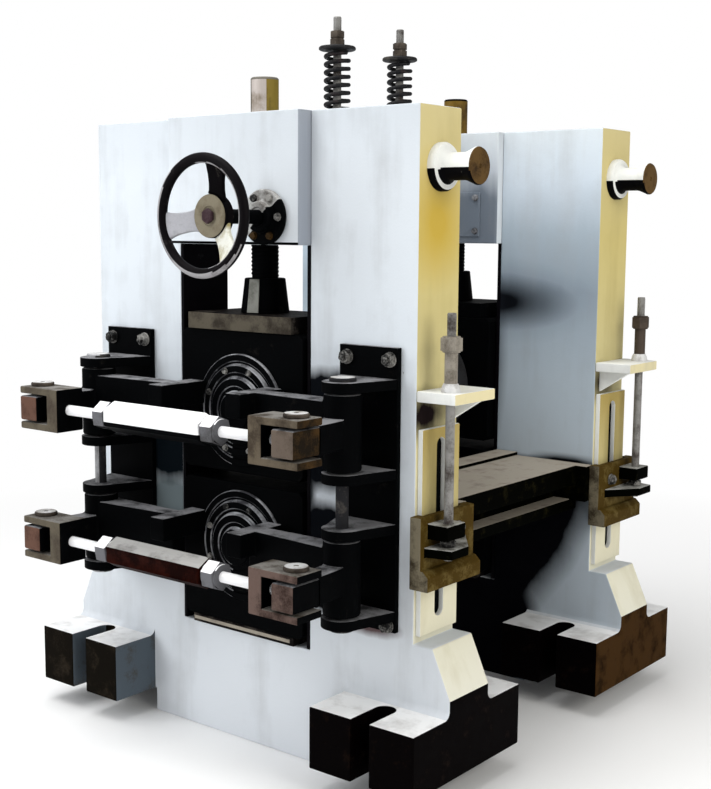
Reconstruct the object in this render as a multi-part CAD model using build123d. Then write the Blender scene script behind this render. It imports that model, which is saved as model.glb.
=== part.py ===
from build123d import *
import os

# Rolling mill stand, two-high, in millimetres
# X is the pass line, Y is the roll axis direction, Z is up, the floor is Z = 0
# The origin lies on the floor midway between the two housings

# Housings
housing_height = 1600
housing_width = 1070
housing_depth = 164
housing_spacing = 850
window_width = 440
window_bottom_share = 0.18125
cap_share = 0.196875
belly_width = 670

# Feet
foot_width = 302
foot_reach = 142
foot_underside = 62
foot_thickness = 153
foot_outer = 640
foot_slot_width = 52
foot_slot_length = 96
buttress_ledge = 54
buttress_top = 370
buttress_foot = 256
foot_fillet = 18

# Rolls and chocks
low_axis_share = 0.32625
top_axis_share = 0.54375
barrel_parting = 14
barrel_gap_to_housing = 78
neck_diameter = 190
neck_clearance = 0.05
slide_clearance = 5
liner_thickness = 10
chock_proud = 10
chock_inner_proud = 30
chock_gap = 26
chock_seat_height = 22
chock_seat_width = 350
pressure_plate_height = 42
pressure_plate_width = 350
pressure_plate_proud = 10
chock_head = 200
chock_bevel = 12

# Neck covers
cover_diameter = 286
cover_step_diameter = 232
cover_inner_diameter = 168
cover_hub_diameter = 96
cover_step = 7
neck_end_gap = 5

# Drive ends of the rolls
wobbler_diameter = 150
wobbler_flute_diameter = 46
wobbler_flute_share = 0.7071

# Caps and screws
cap_proud = 42
cap_inner_proud = 28
cap_bevel = 4
screw_diameter = 70
screw_rise = 95
far_screw_rise = 109
screw_bore_clearance = 1
cup_top_diameter = 103
cup_bottom_diameter = 124
cup_height = 88
cup_flat_width = 34
cup_flat_depth = 6

# Handwheel
wheel_offset = 117
wheel_level_share = 0.79
wheel_diameter = 284
wheel_rim_diameter = 24
wheel_hub_diameter = 100
wheel_hub_thickness = 34
wheel_spoke_root = 46
wheel_spoke_tip = 54
wheel_spoke_thickness = 14
wheel_reach = 258
wheel_dish = 39
wheel_spoke_start = 71
wheel_spoke_count = 3
wheel_shaft_diameter = 34
wheel_nut_diameter = 36
wheel_nut_height = 10
flange_diameter = 132
flange_thickness = 16
flange_boss_diameter = 74
flange_boss_length = 34
flange_bolt_circle = 102
flange_bolt_diameter = 16
flange_bolt_height = 8
flange_bolt_count = 6
inner_cover_width = 96
inner_cover_height = 128
inner_cover_thickness = 6
inner_cover_rise = 17

# Roll balance hangers
hanger_share = 0.336
hanger_rod_diameter = 22
hanger_rod_rise = 279
hanger_plate_diameter = 98
hanger_plate_thickness = 14
hanger_plate_level = 190
hanger_nut_flats = 36
hanger_nut_height = 19
spring_diameter = 72
spring_wire = 11
spring_turns = 8
spring_seat_thickness = 12
tie_width = 130
tie_height = 90
balance_beam_width = 76
balance_beam_height = 44
balance_beam_gap = 12

# Lever brackets on the near housing
bracket_inner = 322
bracket_width = 170
bracket_foot = 28
bracket_head = 72
bracket_thickness = 14
ear_reach = 116
ear_nose_radius = 48
ear_thickness = 24
ear_span = 232
lever_pin_inset = 92
lever_rise_low = 12
lever_pin_diameter = 30
lever_pin_head_diameter = 62
lever_pin_head_height = 9
pin_clearance = 0.05

# Levers
lever_hub_radius = 44
lever_hub_gap = 4
lever_arm_reach = 174
lever_splay = 13
lever_arm_width = 56
lever_arm_height = 68
lever_end_width = 64
lever_end_height = 62
lever_end_front = 48
push_arm_length = 282
push_arm_root = 74
push_arm_tip = 46
push_arm_height = 140
push_finger_width = 50
push_finger_height = 60
push_finger_front = 64
push_finger_gap = 5

# Forks at the lever ends
fork_inner_width = 105
fork_outer_width = 39
fork_height = 108
fork_depth = 84
fork_wall = 40
fork_plate = 18
fork_pin_diameter = 28
fork_pin_head_diameter = 58
fork_pin_head_height = 10

# Turnbuckles between the forks
turnbuckle_length = 322
turnbuckle_flats = 70
turnbuckle_rod_diameter = 26
turnbuckle_nut_flats = 62
turnbuckle_nut_length = 44

# Rest bar and its height gear on the posts
slide_plate_width = 150
slide_plate_foot = 18
slide_plate_gap = 6
slide_plate_thickness = 14
slide_slot_width = 34
slide_slot_foot = 36
slide_slot_head = 25
slider_height = 170
slider_thickness = 31
slider_width = 220
slider_lip = 2
slider_boss_height = 48
slider_boss_proud = 21
slider_boss_bevel = 14
slider_lug_level = 77
slider_lug_thickness = 22
slider_lug_reach = 66
slider_lug_tail = 75
slider_lug_nose = 34
slider_clevis_level = 118
slider_clevis_height = 35
slider_clevis_reach = 55
slider_clevis_length = 74
shelf_share = 0.585625
shelf_thickness = 25
shelf_reach = 105
gusset_drop = 58
gusset_thickness = 14
rod_stand_off = 68
rod_offset = 46
rod_diameter = 22
rod_tail = 54
rod_foot = 10
rod_nut_flats = 44
rod_nut_height = 36
rod_sleeve_diameter = 30
rod_sleeve_height = 90
rest_bar_drop = 20
rest_bar_depth = 130
rest_bar_inner_inset = 309
rest_bar_outer_inset = 29
rest_bar_flange = 56
rest_bar_foot = 32
rest_bar_foot_inset = 45
rest_bar_web_inner_inset = 205
rest_bar_web_outer_inset = 95
rest_bar_ledge_width = 70
rest_bar_ledge_height = 10
rest_bar_end_height = 100
rest_bar_end_depth = 40
rest_bar_gap = 5

# Lifting trunnions
trunnion_share = 0.915
trunnion_flange_diameter = 110
trunnion_flange_thickness = 18
trunnion_shaft_diameter = 62
trunnion_end_diameter = 84
trunnion_end_thickness = 8
trunnion_flare = 24
trunnion_reach = 105

# Derived sizes
half = 2
full_turn = 360
half_spacing = housing_spacing / half
half_depth = housing_depth / half
half_width = housing_width / half
half_window = window_width / half
window_bottom = housing_height * window_bottom_share
cap_height = housing_height * cap_share
cap_bottom = housing_height - cap_height
foot_inner = foot_outer - foot_width
foot_top = foot_underside + foot_thickness
clear_window = window_width - half * liner_thickness
chock_width = clear_window - half * slide_clearance
chock_base = window_bottom + chock_seat_height
low_axis = housing_height * low_axis_share
top_axis = housing_height * top_axis_share
barrel_diameter = top_axis - low_axis - barrel_parting
chock_split = (low_axis + top_axis) / half
chock_depth = housing_depth + chock_proud + chock_inner_proud
chock_face = half_depth + chock_proud
cup_base = top_axis + chock_head + pressure_plate_height
cup_top = cup_base + cup_height
wheel_level = cap_bottom + (housing_height - cap_bottom) * (1 - wheel_level_share)
barrel_half = half_spacing - half_depth - barrel_gap_to_housing
hanger_y = half_spacing - housing_spacing * hanger_share
rod_x = half_width + rod_stand_off
lever_pin_x = bracket_inner + lever_pin_inset
lever_pin_y = half_depth + ear_reach
lever_level_top = top_axis
lever_level_low = low_axis + lever_rise_low
bracket_bottom = lever_level_low - ear_span / half - bracket_foot
bracket_top = lever_level_top + ear_span / half + bracket_head
fork_pin_x = lever_pin_x + lever_splay
fork_pin_y = lever_pin_y + lever_arm_reach
drive_end_reach = fork_pin_y + lever_end_front
shelf_level = housing_height * shelf_share
slide_plate_bottom = buttress_top + slide_plate_foot
slide_plate_top = shelf_level - gusset_drop - slide_plate_gap
slide_slot_bottom = slide_plate_bottom + slide_slot_foot
slide_slot_top = slide_plate_top - slide_slot_head
rod_top = shelf_level + shelf_thickness + rod_sleeve_height + rod_nut_height + rod_tail
rest_bar_level = chock_split - rest_bar_drop
rest_bar_bottom = rest_bar_level - rest_bar_depth
rest_bar_inner = half_width - rest_bar_inner_inset
rest_bar_outer = half_width - rest_bar_outer_inset
rest_bar_foot_outer = half_width - rest_bar_foot_inset
rest_bar_web_inner = half_width - rest_bar_web_inner_inset
rest_bar_web_outer = half_width - rest_bar_web_outer_inset
slider_bottom = rest_bar_level + slider_lip - slider_height
slider_back = half_width + slide_clearance
slider_face = slider_back + slider_thickness
lug_base = slider_bottom + slider_lug_level
trunnion_level = housing_height * trunnion_share
LOW = (Align.CENTER, Align.CENTER, Align.MIN)
HIGH = (Align.CENTER, Align.CENTER, Align.MAX)
INNER = (Align.MIN, Align.CENTER, Align.MIN)
FRONT = (Align.CENTER, Align.MAX, Align.MIN)

os.makedirs("parts", exist_ok=True)


def near(shape):
    """Moves a shape from the housing's own frame to the near housing."""
    return shape.moved(Location((0, -half_spacing, 0)))


def far(shape):
    """Mirrors a near shape to the far housing."""
    return mirror(near(shape), about=Plane.XZ)


def left(shape):
    """Mirrors a shape to the other side of the pass line's centre."""
    return mirror(shape, about=Plane.YZ)


def save(name, *shapes):
    """Writes one named piece or group of like pieces."""
    solids = [solid for shape in shapes for solid in shape.solids()]
    export_step(Compound(label=name, children=solids), "parts/" + name + ".step")


def box_at(x, y, z, wide, deep, tall, align=LOW):
    """Makes a box with its reference corner or face centre at a point."""
    return Pos(x, y, z) * Box(wide, deep, tall, align=align)


def post(x, y, z, diameter, length):
    """Makes an upright round bar on a point."""
    return Pos(x, y, z) * Cylinder(diameter / half, length, align=LOW)


def bar_y(x, y, z, diameter, length):
    """Makes a round bar that runs from a point along Y."""
    return Pos(x, y, z) * Rot(-90, 0, 0) * Cylinder(diameter / half, length, align=LOW)


def bar_x(x, y, z, diameter, length):
    """Makes a round bar that runs from a point along X."""
    return Pos(x, y, z) * Rot(0, 90, 0) * Cylinder(diameter / half, length, align=LOW)


def hexagon(flats, length):
    """Makes an upright hexagonal bar by its width across flats."""
    return extrude(RegularPolygon(flats / half, 6, major_radius=False), length)


def slab_xz(points, y, depth):
    """Extrudes an outline in the X and Z plane from y by a depth along Y."""
    face = make_face(Polyline(*points, close=True))
    return extrude(Plane.XZ.offset(-y - depth) * face, depth)


def slab_xy(points, z, height):
    """Extrudes a plan outline upwards from z."""
    return Pos(0, 0, z) * extrude(make_face(Polyline(*points, close=True)), height)


# Housings
def make_housing():
    """Builds one cast housing with its window, belly, buttresses and slotted feet."""
    ledge = half_width + buttress_ledge
    side = [
        (belly_width / half, 0),
        (belly_width / half, foot_underside),
        (foot_outer, foot_underside),
        (foot_outer, buttress_foot),
        (ledge, buttress_top),
        (half_width, buttress_top),
        (half_width, housing_height),
        (half_window, housing_height),
        (half_window, window_bottom),
    ]
    other = [(-x, z) for x, z in reversed(side)]
    body = slab_xz(side + other, -half_depth, housing_depth)
    for turn in (-1, 1):
        foot = box_at(
            turn * (foot_inner + foot_width / half), 0, foot_underside,
            foot_width, half * (half_depth + foot_reach), foot_thickness)
        body += foot
    creases = body.edges().filter_by(Axis.X).filter_by(
        lambda edge: abs(edge.center().Z - foot_top) < foot_fillet / half
        and abs(abs(edge.center().Y) - half_depth) < foot_fillet / half)
    body = fillet(creases, foot_fillet)
    for turn in (-1, 1):
        for way in (-1, 1):
            x = turn * (foot_inner + foot_width / half)
            mouth = way * (half_depth + foot_reach)
            bottom = way * (half_depth + foot_reach - foot_slot_length)
            slot = box_at(
                x, (mouth + bottom) / half, foot_underside,
                foot_slot_width, foot_slot_length, foot_thickness)
            slot += post(x, bottom, foot_underside, foot_slot_width, foot_thickness)
            body -= slot
    return body


housing = make_housing()
save("near_housing", near(housing))
save("far_housing", far(housing))


# Caps
def make_cap():
    """Builds one cap between the posts with bores for the screw and the worm shaft."""
    depth = housing_depth + cap_proud + cap_inner_proud
    block = box_at(0, -half_depth - cap_proud, cap_bottom, window_width, depth, cap_height,
                   align=(Align.CENTER, Align.MIN, Align.MIN))
    block = chamfer(block.edges().filter_by(Axis.Z), cap_bevel)
    block -= post(0, 0, cap_bottom, screw_diameter + half * screw_bore_clearance, cap_height)
    front = -half_depth - cap_proud
    block -= bar_y(wheel_offset, front, wheel_level,
                   wheel_shaft_diameter + half * pin_clearance, depth)
    return block


cap = make_cap()
save("caps", near(cap), far(cap))


# Screws and their cups
def make_screw(rise):
    """Builds one main screw that stands proud of its cap by its rise."""
    return post(0, 0, cup_top, screw_diameter, housing_height + rise - cup_top)


save("screws", near(make_screw(screw_rise)), far(make_screw(far_screw_rise)))

cup = Pos(0, 0, cup_base) * Cone(
    cup_bottom_diameter / half, cup_top_diameter / half, cup_height, align=LOW)
cup_cut = cup_bottom_diameter / half - cup_flat_depth
cup -= box_at(0, -cup_cut, cup_base, cup_bottom_diameter, cup_flat_width, cup_height, align=FRONT)
save("screw_cups", near(cup), far(cup))


# Handwheels on the worm shafts
def make_wheel():
    """Builds one three-spoked handwheel with its shaft."""
    rim_radius = (wheel_diameter - wheel_rim_diameter) / half
    wheel = Torus(rim_radius, wheel_rim_diameter / half)
    hub = -wheel_dish
    for step in range(wheel_spoke_count):
        inner = Plane(origin=(0, 0, hub), x_dir=(0, 1, 0), z_dir=(1, 0, 0))
        outer = Plane(origin=(rim_radius, 0, 0), x_dir=(0, 1, 0), z_dir=(1, 0, 0))
        spoke = loft([
            inner * Rectangle(wheel_spoke_root, wheel_spoke_thickness),
            outer * Rectangle(wheel_spoke_tip, wheel_spoke_thickness)])
        wheel += Rot(0, 0, wheel_spoke_start + step * full_turn / wheel_spoke_count) * spoke
    wheel += Pos(0, 0, hub) * Cylinder(wheel_hub_diameter / half, wheel_hub_thickness)
    wheel += post(0, 0, hub + wheel_hub_thickness / half, wheel_nut_diameter, wheel_nut_height)
    shaft_length = wheel_reach - wheel_dish + half_depth
    wheel += Pos(0, 0, hub) * Cylinder(wheel_shaft_diameter / half, shaft_length, align=HIGH)
    return Pos(wheel_offset, -half_depth - wheel_reach, wheel_level) * Rot(90, 0, 0) * wheel


wheel = make_wheel()
save("near_handwheel", near(wheel))
save("far_handwheel", far(wheel))


def make_flange():
    """Builds the bolted bearing flange of one worm shaft."""
    flange = Cylinder(flange_diameter / half, flange_thickness, align=LOW)
    flange += post(0, 0, 0, flange_boss_diameter, flange_boss_length)
    bolts = PolarLocations(flange_bolt_circle / half, flange_bolt_count)
    for spot in bolts:
        flange += spot * post(0, 0, flange_thickness, flange_bolt_diameter, flange_bolt_height)
    flange -= post(0, 0, 0, wheel_shaft_diameter + half * pin_clearance, flange_boss_length)
    return Pos(wheel_offset, -half_depth - cap_proud, wheel_level) * Rot(90, 0, 0) * flange


def make_inner_cover():
    """Builds the closed cover over the inner end of one worm shaft."""
    face = half_depth + cap_inner_proud
    cover = box_at(wheel_offset, face + inner_cover_thickness / half,
                   wheel_level + inner_cover_rise - inner_cover_height / half,
                   inner_cover_width, inner_cover_thickness, inner_cover_height)
    return chamfer(cover.edges().filter_by(Axis.Y), inner_cover_thickness)


flange = make_flange()
inner_cover = make_inner_cover()
save("wheel_flanges", near(flange), far(flange), near(inner_cover), far(inner_cover))


# Chocks
def make_chock(base, top, axis):
    """Builds one roll chock with its neck bore."""
    block = box_at(0, (chock_inner_proud - chock_proud) / half, base,
                   chock_width, chock_depth, top - base)
    block = chamfer(block.edges().filter_by(Axis.Y), chock_bevel)
    bore = neck_diameter + half * neck_clearance
    block -= bar_y(0, -chock_face, axis, bore, chock_depth)
    return block


low_chock = make_chock(chock_base, chock_split - chock_gap / half, low_axis)
top_chock = make_chock(chock_split + chock_gap / half, top_axis + chock_head, top_axis)
save("bottom_chocks", near(low_chock), far(low_chock))
save("top_chocks", near(top_chock), far(top_chock))

pressure_plate = box_at(
    0, (chock_inner_proud - chock_proud - pressure_plate_proud) / half, top_axis + chock_head,
    pressure_plate_width, chock_depth + pressure_plate_proud, pressure_plate_height)
save("pressure_plates", near(pressure_plate), far(pressure_plate))

seat = box_at(0, (chock_inner_proud - chock_proud) / half, window_bottom,
              chock_seat_width, chock_depth, chock_seat_height)
save("chock_seats", near(seat), far(seat))

liner_height = cap_bottom - window_bottom
liner = box_at(half_window - liner_thickness, 0, window_bottom,
               liner_thickness, housing_depth, liner_height, align=INNER)
save("window_liners", near(liner), near(left(liner)), far(liner), far(left(liner)))


# Neck covers
def make_cover(axis, bore):
    """Builds one stepped round cover over a roll neck."""
    cover = post(0, 0, 0, cover_diameter, cover_step)
    cover += post(0, 0, cover_step, cover_step_diameter, cover_step)
    cover += post(0, 0, half * cover_step, cover_inner_diameter, cover_step)
    cover += post(0, 0, half * cover_step + cover_step, cover_hub_diameter, cover_step)
    if bore:
        cover -= post(0, 0, 0, bore, half * half * cover_step)
    return Pos(0, -chock_face, axis) * Rot(90, 0, 0) * cover


drive_bore = wobbler_diameter + half * slide_clearance
save("top_covers", near(make_cover(top_axis, 0)), far(make_cover(top_axis, drive_bore)))
save("bottom_covers", near(make_cover(low_axis, 0)), far(make_cover(low_axis, drive_bore)))


# Rolls
def make_roll(axis):
    """Builds one roll with its necks and fluted drive end."""
    neck_start = -half_spacing - chock_face + neck_end_gap
    roll = bar_y(0, -barrel_half, axis, barrel_diameter, half * barrel_half)
    roll += bar_y(0, neck_start, axis, neck_diameter, -neck_start)
    roll += bar_y(0, 0, axis, neck_diameter, -neck_start)
    drive_end = half_spacing + drive_end_reach
    wobbler = bar_y(0, 0, axis, wobbler_diameter, drive_end)
    flute_start = half_spacing + chock_face + half * half * cover_step
    for turn in (-1, 1):
        for way in (-1, 1):
            x = turn * wobbler_diameter / half * wobbler_flute_share
            z = axis + way * wobbler_diameter / half * wobbler_flute_share
            wobbler -= bar_y(x, flute_start, z, wobbler_flute_diameter, drive_end - flute_start)
    return roll + wobbler


save("top_roll", make_roll(top_axis))
save("bottom_roll", make_roll(low_axis))


# Roll balance hangers on the tie between the caps
def make_tie():
    """Builds the tie between the two caps with clear holes for the hanger rods."""
    length = half * (half_spacing - half_depth - cap_inner_proud)
    tie = box_at(0, 0, housing_height - tie_height, tie_width, length, tie_height)
    hole = hanger_rod_diameter + half * slide_clearance
    for way in (-1, 1):
        tie -= post(0, way * hanger_y, housing_height - tie_height, hole, tie_height)
    return tie


save("cap_tie", make_tie())
beam_top = top_axis + barrel_diameter / half + balance_beam_gap + balance_beam_height
plate_bottom = housing_height + hanger_plate_level
plate_top = plate_bottom + hanger_plate_thickness
beam_length = half * (half_spacing - half_depth - chock_inner_proud)
beam = box_at(0, 0, beam_top - balance_beam_height, balance_beam_width, beam_length,
              balance_beam_height)
save("balance_beam", beam)
rods = []
plates = []
nuts = []
springs = []
seats = []
for way in (-1, 1):
    y = way * hanger_y
    rod_length = housing_height + hanger_rod_rise - beam_top
    rods.append(post(0, y, beam_top, hanger_rod_diameter, rod_length))
    hole = hanger_rod_diameter + half * pin_clearance
    plate = post(0, y, plate_bottom, hanger_plate_diameter, hanger_plate_thickness)
    plates.append(plate - post(0, y, plate_bottom, hole, hanger_plate_thickness))
    nut = hexagon(hanger_nut_flats, half * hanger_nut_height)
    nut -= post(0, 0, 0, hole, half * hanger_nut_height)
    nuts.append(Pos(0, y, plate_top) * nut)
    seat_hole = hanger_rod_diameter + half * slide_clearance
    ring = post(0, y, housing_height, hanger_plate_diameter, spring_seat_thickness)
    seats.append(ring - post(0, y, housing_height, seat_hole, spring_seat_thickness))
    coil_base = housing_height + spring_seat_thickness + spring_wire / half
    coil_height = hanger_plate_level - spring_seat_thickness - spring_wire
    radius = (spring_diameter - spring_wire) / half
    path = Helix(coil_height / spring_turns, coil_height, radius)
    wire = Plane(origin=path @ 0, z_dir=path % 0) * Circle(spring_wire / half)
    springs.append(Pos(0, y, coil_base) * sweep(wire, path=path, is_frenet=True))
save("hanger_rods", *rods)
save("hanger_plates", *plates)
save("hanger_nuts", *nuts)
save("hanger_springs", *springs)
save("spring_seats", *seats)


# Lever brackets on the near housing
def make_bracket():
    """Builds one lever bracket with its four ears."""
    height = bracket_top - bracket_bottom
    face = -half_depth
    x = bracket_inner + bracket_width / half
    bracket = box_at(x, face, bracket_bottom, bracket_width, bracket_thickness, height, align=FRONT)
    hole = lever_pin_diameter + half * pin_clearance
    for level in (lever_level_low, lever_level_top):
        for base in (level - ear_span / half, level + ear_span / half - ear_thickness):
            nose = post(lever_pin_x, -lever_pin_y, base, half * ear_nose_radius, ear_thickness)
            outline = [
                (bracket_inner, face - bracket_thickness / half),
                (bracket_inner + bracket_width, face - bracket_thickness / half),
                (lever_pin_x + ear_nose_radius, -lever_pin_y),
                (lever_pin_x - ear_nose_radius, -lever_pin_y),
            ]
            ear = slab_xy(outline, base, ear_thickness) + nose
            bracket += ear
            bracket -= post(lever_pin_x, -lever_pin_y, base, hole, ear_thickness)
    return bracket


bracket = make_bracket()
save("lever_brackets", near(bracket), near(left(bracket)))


def make_lever_pin():
    """Builds the long headed pin of one bracket."""
    low = lever_level_low - ear_span / half
    high = lever_level_top + ear_span / half
    pin = post(lever_pin_x, -lever_pin_y, low, lever_pin_diameter, high - low)
    pin += post(lever_pin_x, -lever_pin_y, high, lever_pin_head_diameter, lever_pin_head_height)
    foot = Pos(lever_pin_x, -lever_pin_y, low)
    pin += foot * Cylinder(lever_pin_head_diameter / half, lever_pin_head_height, align=HIGH)
    return pin


lever_pin = make_lever_pin()
save("lever_pins", near(lever_pin), near(left(lever_pin)))


def make_lever(level):
    """Builds one bell crank with its fork arm and push arm."""
    hub_height = ear_span - half * ear_thickness - half * lever_hub_gap
    lever = post(lever_pin_x, -lever_pin_y, level - hub_height / half,
                 half * lever_hub_radius, hub_height)
    arm = [
        (lever_pin_x - lever_arm_width / half, -lever_pin_y),
        (lever_pin_x + lever_arm_width / half, -lever_pin_y),
        (fork_pin_x + lever_arm_width / half, -fork_pin_y + fork_depth / half),
        (fork_pin_x - lever_arm_width / half, -fork_pin_y + fork_depth / half),
    ]
    lever += slab_xy(arm, level - lever_arm_height / half, lever_arm_height)
    lever += box_at(
        fork_pin_x, -fork_pin_y - lever_end_front, level - lever_end_height / half,
        lever_end_width, lever_end_front + fork_depth / half, lever_end_height,
        align=(Align.CENTER, Align.MIN, Align.MIN))
    tip_x = lever_pin_x - push_arm_length
    tip_y = -lever_pin_y + push_arm_root / half
    push = [
        (lever_pin_x, -lever_pin_y + push_arm_root / half),
        (tip_x, tip_y),
        (tip_x, tip_y - push_arm_tip),
        (lever_pin_x, -lever_pin_y - push_arm_root / half),
    ]
    lever += slab_xy(push, level - push_arm_height / half, push_arm_height)
    pad_face = chock_face + half * cover_step + push_finger_gap
    finger_base = level + push_arm_height / half - push_finger_height
    lever += box_at(
        tip_x, -pad_face, finger_base, push_finger_width,
        lever_pin_y + push_finger_front - pad_face, push_finger_height, align=FRONT)
    lever -= post(lever_pin_x, -lever_pin_y, level - hub_height / half,
                  lever_pin_diameter + half * pin_clearance, hub_height)
    lever -= post(fork_pin_x, -fork_pin_y, level - lever_end_height / half,
                  fork_pin_diameter + half * pin_clearance, lever_end_height)
    return lever


def make_fork(level):
    """Builds one fork that holds a lever end and a turnbuckle rod."""
    base = level - fork_height / half
    wide = fork_inner_width + fork_outer_width
    x = fork_pin_x - fork_inner_width
    fork = box_at(x, -fork_pin_y, base, wide, fork_depth, fork_height, align=INNER)
    fork -= box_at(x + fork_wall, -fork_pin_y, base + fork_plate,
                   wide - fork_wall, fork_depth, fork_height - half * fork_plate, align=INNER)
    fork -= post(fork_pin_x, -fork_pin_y, base, fork_pin_diameter + half * pin_clearance,
                 fork_height)
    fork -= bar_x(x, -fork_pin_y, level, turnbuckle_rod_diameter + half * pin_clearance, fork_wall)
    return fork


def make_fork_pin(level):
    """Builds the headed pin of one fork."""
    base = level - fork_height / half
    pin = post(fork_pin_x, -fork_pin_y, base, fork_pin_diameter, fork_height)
    pin += post(fork_pin_x, -fork_pin_y, base + fork_height, fork_pin_head_diameter,
                fork_pin_head_height)
    return pin


def make_turnbuckle(level):
    """Builds the hexagonal turnbuckle body with bored ends."""
    start = -turnbuckle_length / half
    body = Pos(start, -fork_pin_y, level) * Rot(0, 90, 0) * hexagon(
        turnbuckle_flats, turnbuckle_length)
    bore = turnbuckle_rod_diameter + half * pin_clearance
    return body - bar_x(start, -fork_pin_y, level, bore, turnbuckle_length)


def make_turnbuckle_rod(level):
    """Builds one threaded rod between a fork and the turnbuckle body."""
    start = turnbuckle_length / half - half * turnbuckle_nut_length
    end = fork_pin_x - fork_inner_width + fork_wall
    return bar_x(start, -fork_pin_y, level, turnbuckle_rod_diameter, end - start)


def make_turnbuckle_nut(level):
    """Builds one lock nut on a turnbuckle rod."""
    nut = Pos(turnbuckle_length / half, -fork_pin_y, level) * Rot(0, 90, 0) * hexagon(
        turnbuckle_nut_flats, turnbuckle_nut_length)
    bore = turnbuckle_rod_diameter + half * pin_clearance
    return nut - bar_x(turnbuckle_length / half, -fork_pin_y, level, bore, turnbuckle_nut_length)


fork_pins = []
turnbuckle_rods = []
turnbuckle_nuts = []
for name, level in (("top", lever_level_top), ("bottom", lever_level_low)):
    lever = near(make_lever(level))
    fork = near(make_fork(level))
    fork_pin = near(make_fork_pin(level))
    rod = near(make_turnbuckle_rod(level))
    nut = near(make_turnbuckle_nut(level))
    fork_pins += [fork_pin, left(fork_pin)]
    turnbuckle_rods += [rod, left(rod)]
    turnbuckle_nuts += [nut, left(nut)]
    save(name + "_levers", lever, left(lever))
    save(name + "_forks", fork, left(fork))
    save(name + "_turnbuckle", near(make_turnbuckle(level)))
save("fork_pins", *fork_pins)
save("turnbuckle_rods", *turnbuckle_rods)
save("turnbuckle_nuts", *turnbuckle_nuts)


# Slotted plates, shelves and height rods on the posts' right faces
def make_slide_plate():
    """Builds one slotted plate on a post."""
    height = slide_plate_top - slide_plate_bottom
    plate = box_at(half_width, 0, slide_plate_bottom, slide_plate_thickness, slide_plate_width,
                   height, align=INNER)
    radius = slide_slot_width / half
    low = slide_slot_bottom + radius
    high = slide_slot_top - radius
    plate -= box_at(half_width, 0, low, slide_plate_thickness, slide_slot_width, high - low,
                    align=INNER)
    for level in (low, high):
        plate -= bar_x(half_width, 0, level, slide_slot_width, slide_plate_thickness)
    return plate


def make_shelf():
    """Builds one shelf with its gusset and the rod hole."""
    shelf = box_at(half_width, 0, shelf_level, shelf_reach, housing_depth, shelf_thickness,
                   align=INNER)
    points = [
        (half_width, shelf_level),
        (half_width + shelf_reach - gusset_thickness, shelf_level),
        (half_width, shelf_level - gusset_drop),
    ]
    shelf += slab_xz(points, rod_offset, gusset_thickness)
    hole = rod_diameter + half * pin_clearance
    shelf -= post(rod_x, -rod_offset, shelf_level, hole, shelf_thickness)
    return shelf


def make_height_rod():
    """Builds one threaded height rod."""
    rod_end = lug_base - rod_foot
    return post(rod_x, -rod_offset, rod_end, rod_diameter, rod_top - rod_end)


def make_rod_sleeve():
    """Builds the sleeve between a shelf and its nut."""
    base = shelf_level + shelf_thickness
    hole = rod_diameter + half * pin_clearance
    sleeve = post(rod_x, -rod_offset, base, rod_sleeve_diameter, rod_sleeve_height)
    return sleeve - post(rod_x, -rod_offset, base, hole, rod_sleeve_height)


def make_rod_nut():
    """Builds the nut that carries one height rod."""
    base = shelf_level + shelf_thickness + rod_sleeve_height
    hole = rod_diameter + half * pin_clearance
    nut = Pos(rod_x, -rod_offset, base) * hexagon(rod_nut_flats, rod_nut_height)
    return nut - post(rod_x, -rod_offset, base, hole, rod_nut_height)


def make_slider():
    """Builds one slider with its groove, boss, lug and clevis for the height rod."""
    edge = slider_width / half
    slider = box_at(slider_back, 0, slider_bottom, slider_thickness, slider_width, slider_height,
                    align=INNER)
    groove = half_width + slide_plate_thickness + slide_clearance - slider_back
    slider -= box_at(slider_back, 0, slider_bottom, groove,
                     slide_plate_width + half * slide_clearance, slider_height, align=INNER)
    boss = box_at(slider_face, 0, slider_bottom, slider_boss_proud, slider_width,
                  slider_boss_height, align=INNER)
    rim = boss.edges().filter_by(Axis.Y).group_by(Axis.X)[-1].sort_by(Axis.Z)[-1:]
    slider += chamfer(rim, slider_boss_bevel)
    outline = [
        (slider_face, -edge + slider_boss_bevel),
        (slider_face + slider_lug_reach, -rod_offset - slider_lug_nose),
        (slider_face + slider_lug_reach, -rod_offset + slider_lug_nose),
        (slider_face, slider_lug_tail),
    ]
    slider += slab_xy(outline, lug_base, slider_lug_thickness)
    clevis = slider_bottom + slider_clevis_level
    slider += box_at(slider_face, -rod_offset, clevis, slider_clevis_reach,
                     slider_clevis_length, slider_clevis_height, align=INNER)
    bore = rod_diameter + half * pin_clearance
    return slider - post(rod_x, -rod_offset, lug_base, bore, slider_height)


def both(shape):
    """Repeats a piece on the near and far housings."""
    return [near(shape), far(shape)]


save("slide_plates", *both(make_slide_plate()))
save("height_shelves", *both(make_shelf()))
save("height_rod_sleeves", *both(make_rod_sleeve()))
save("height_rod_nuts", *both(make_rod_nut()))
save("right_height_rods", *both(make_height_rod()))
save("right_sliders", *both(make_slider()))


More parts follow.
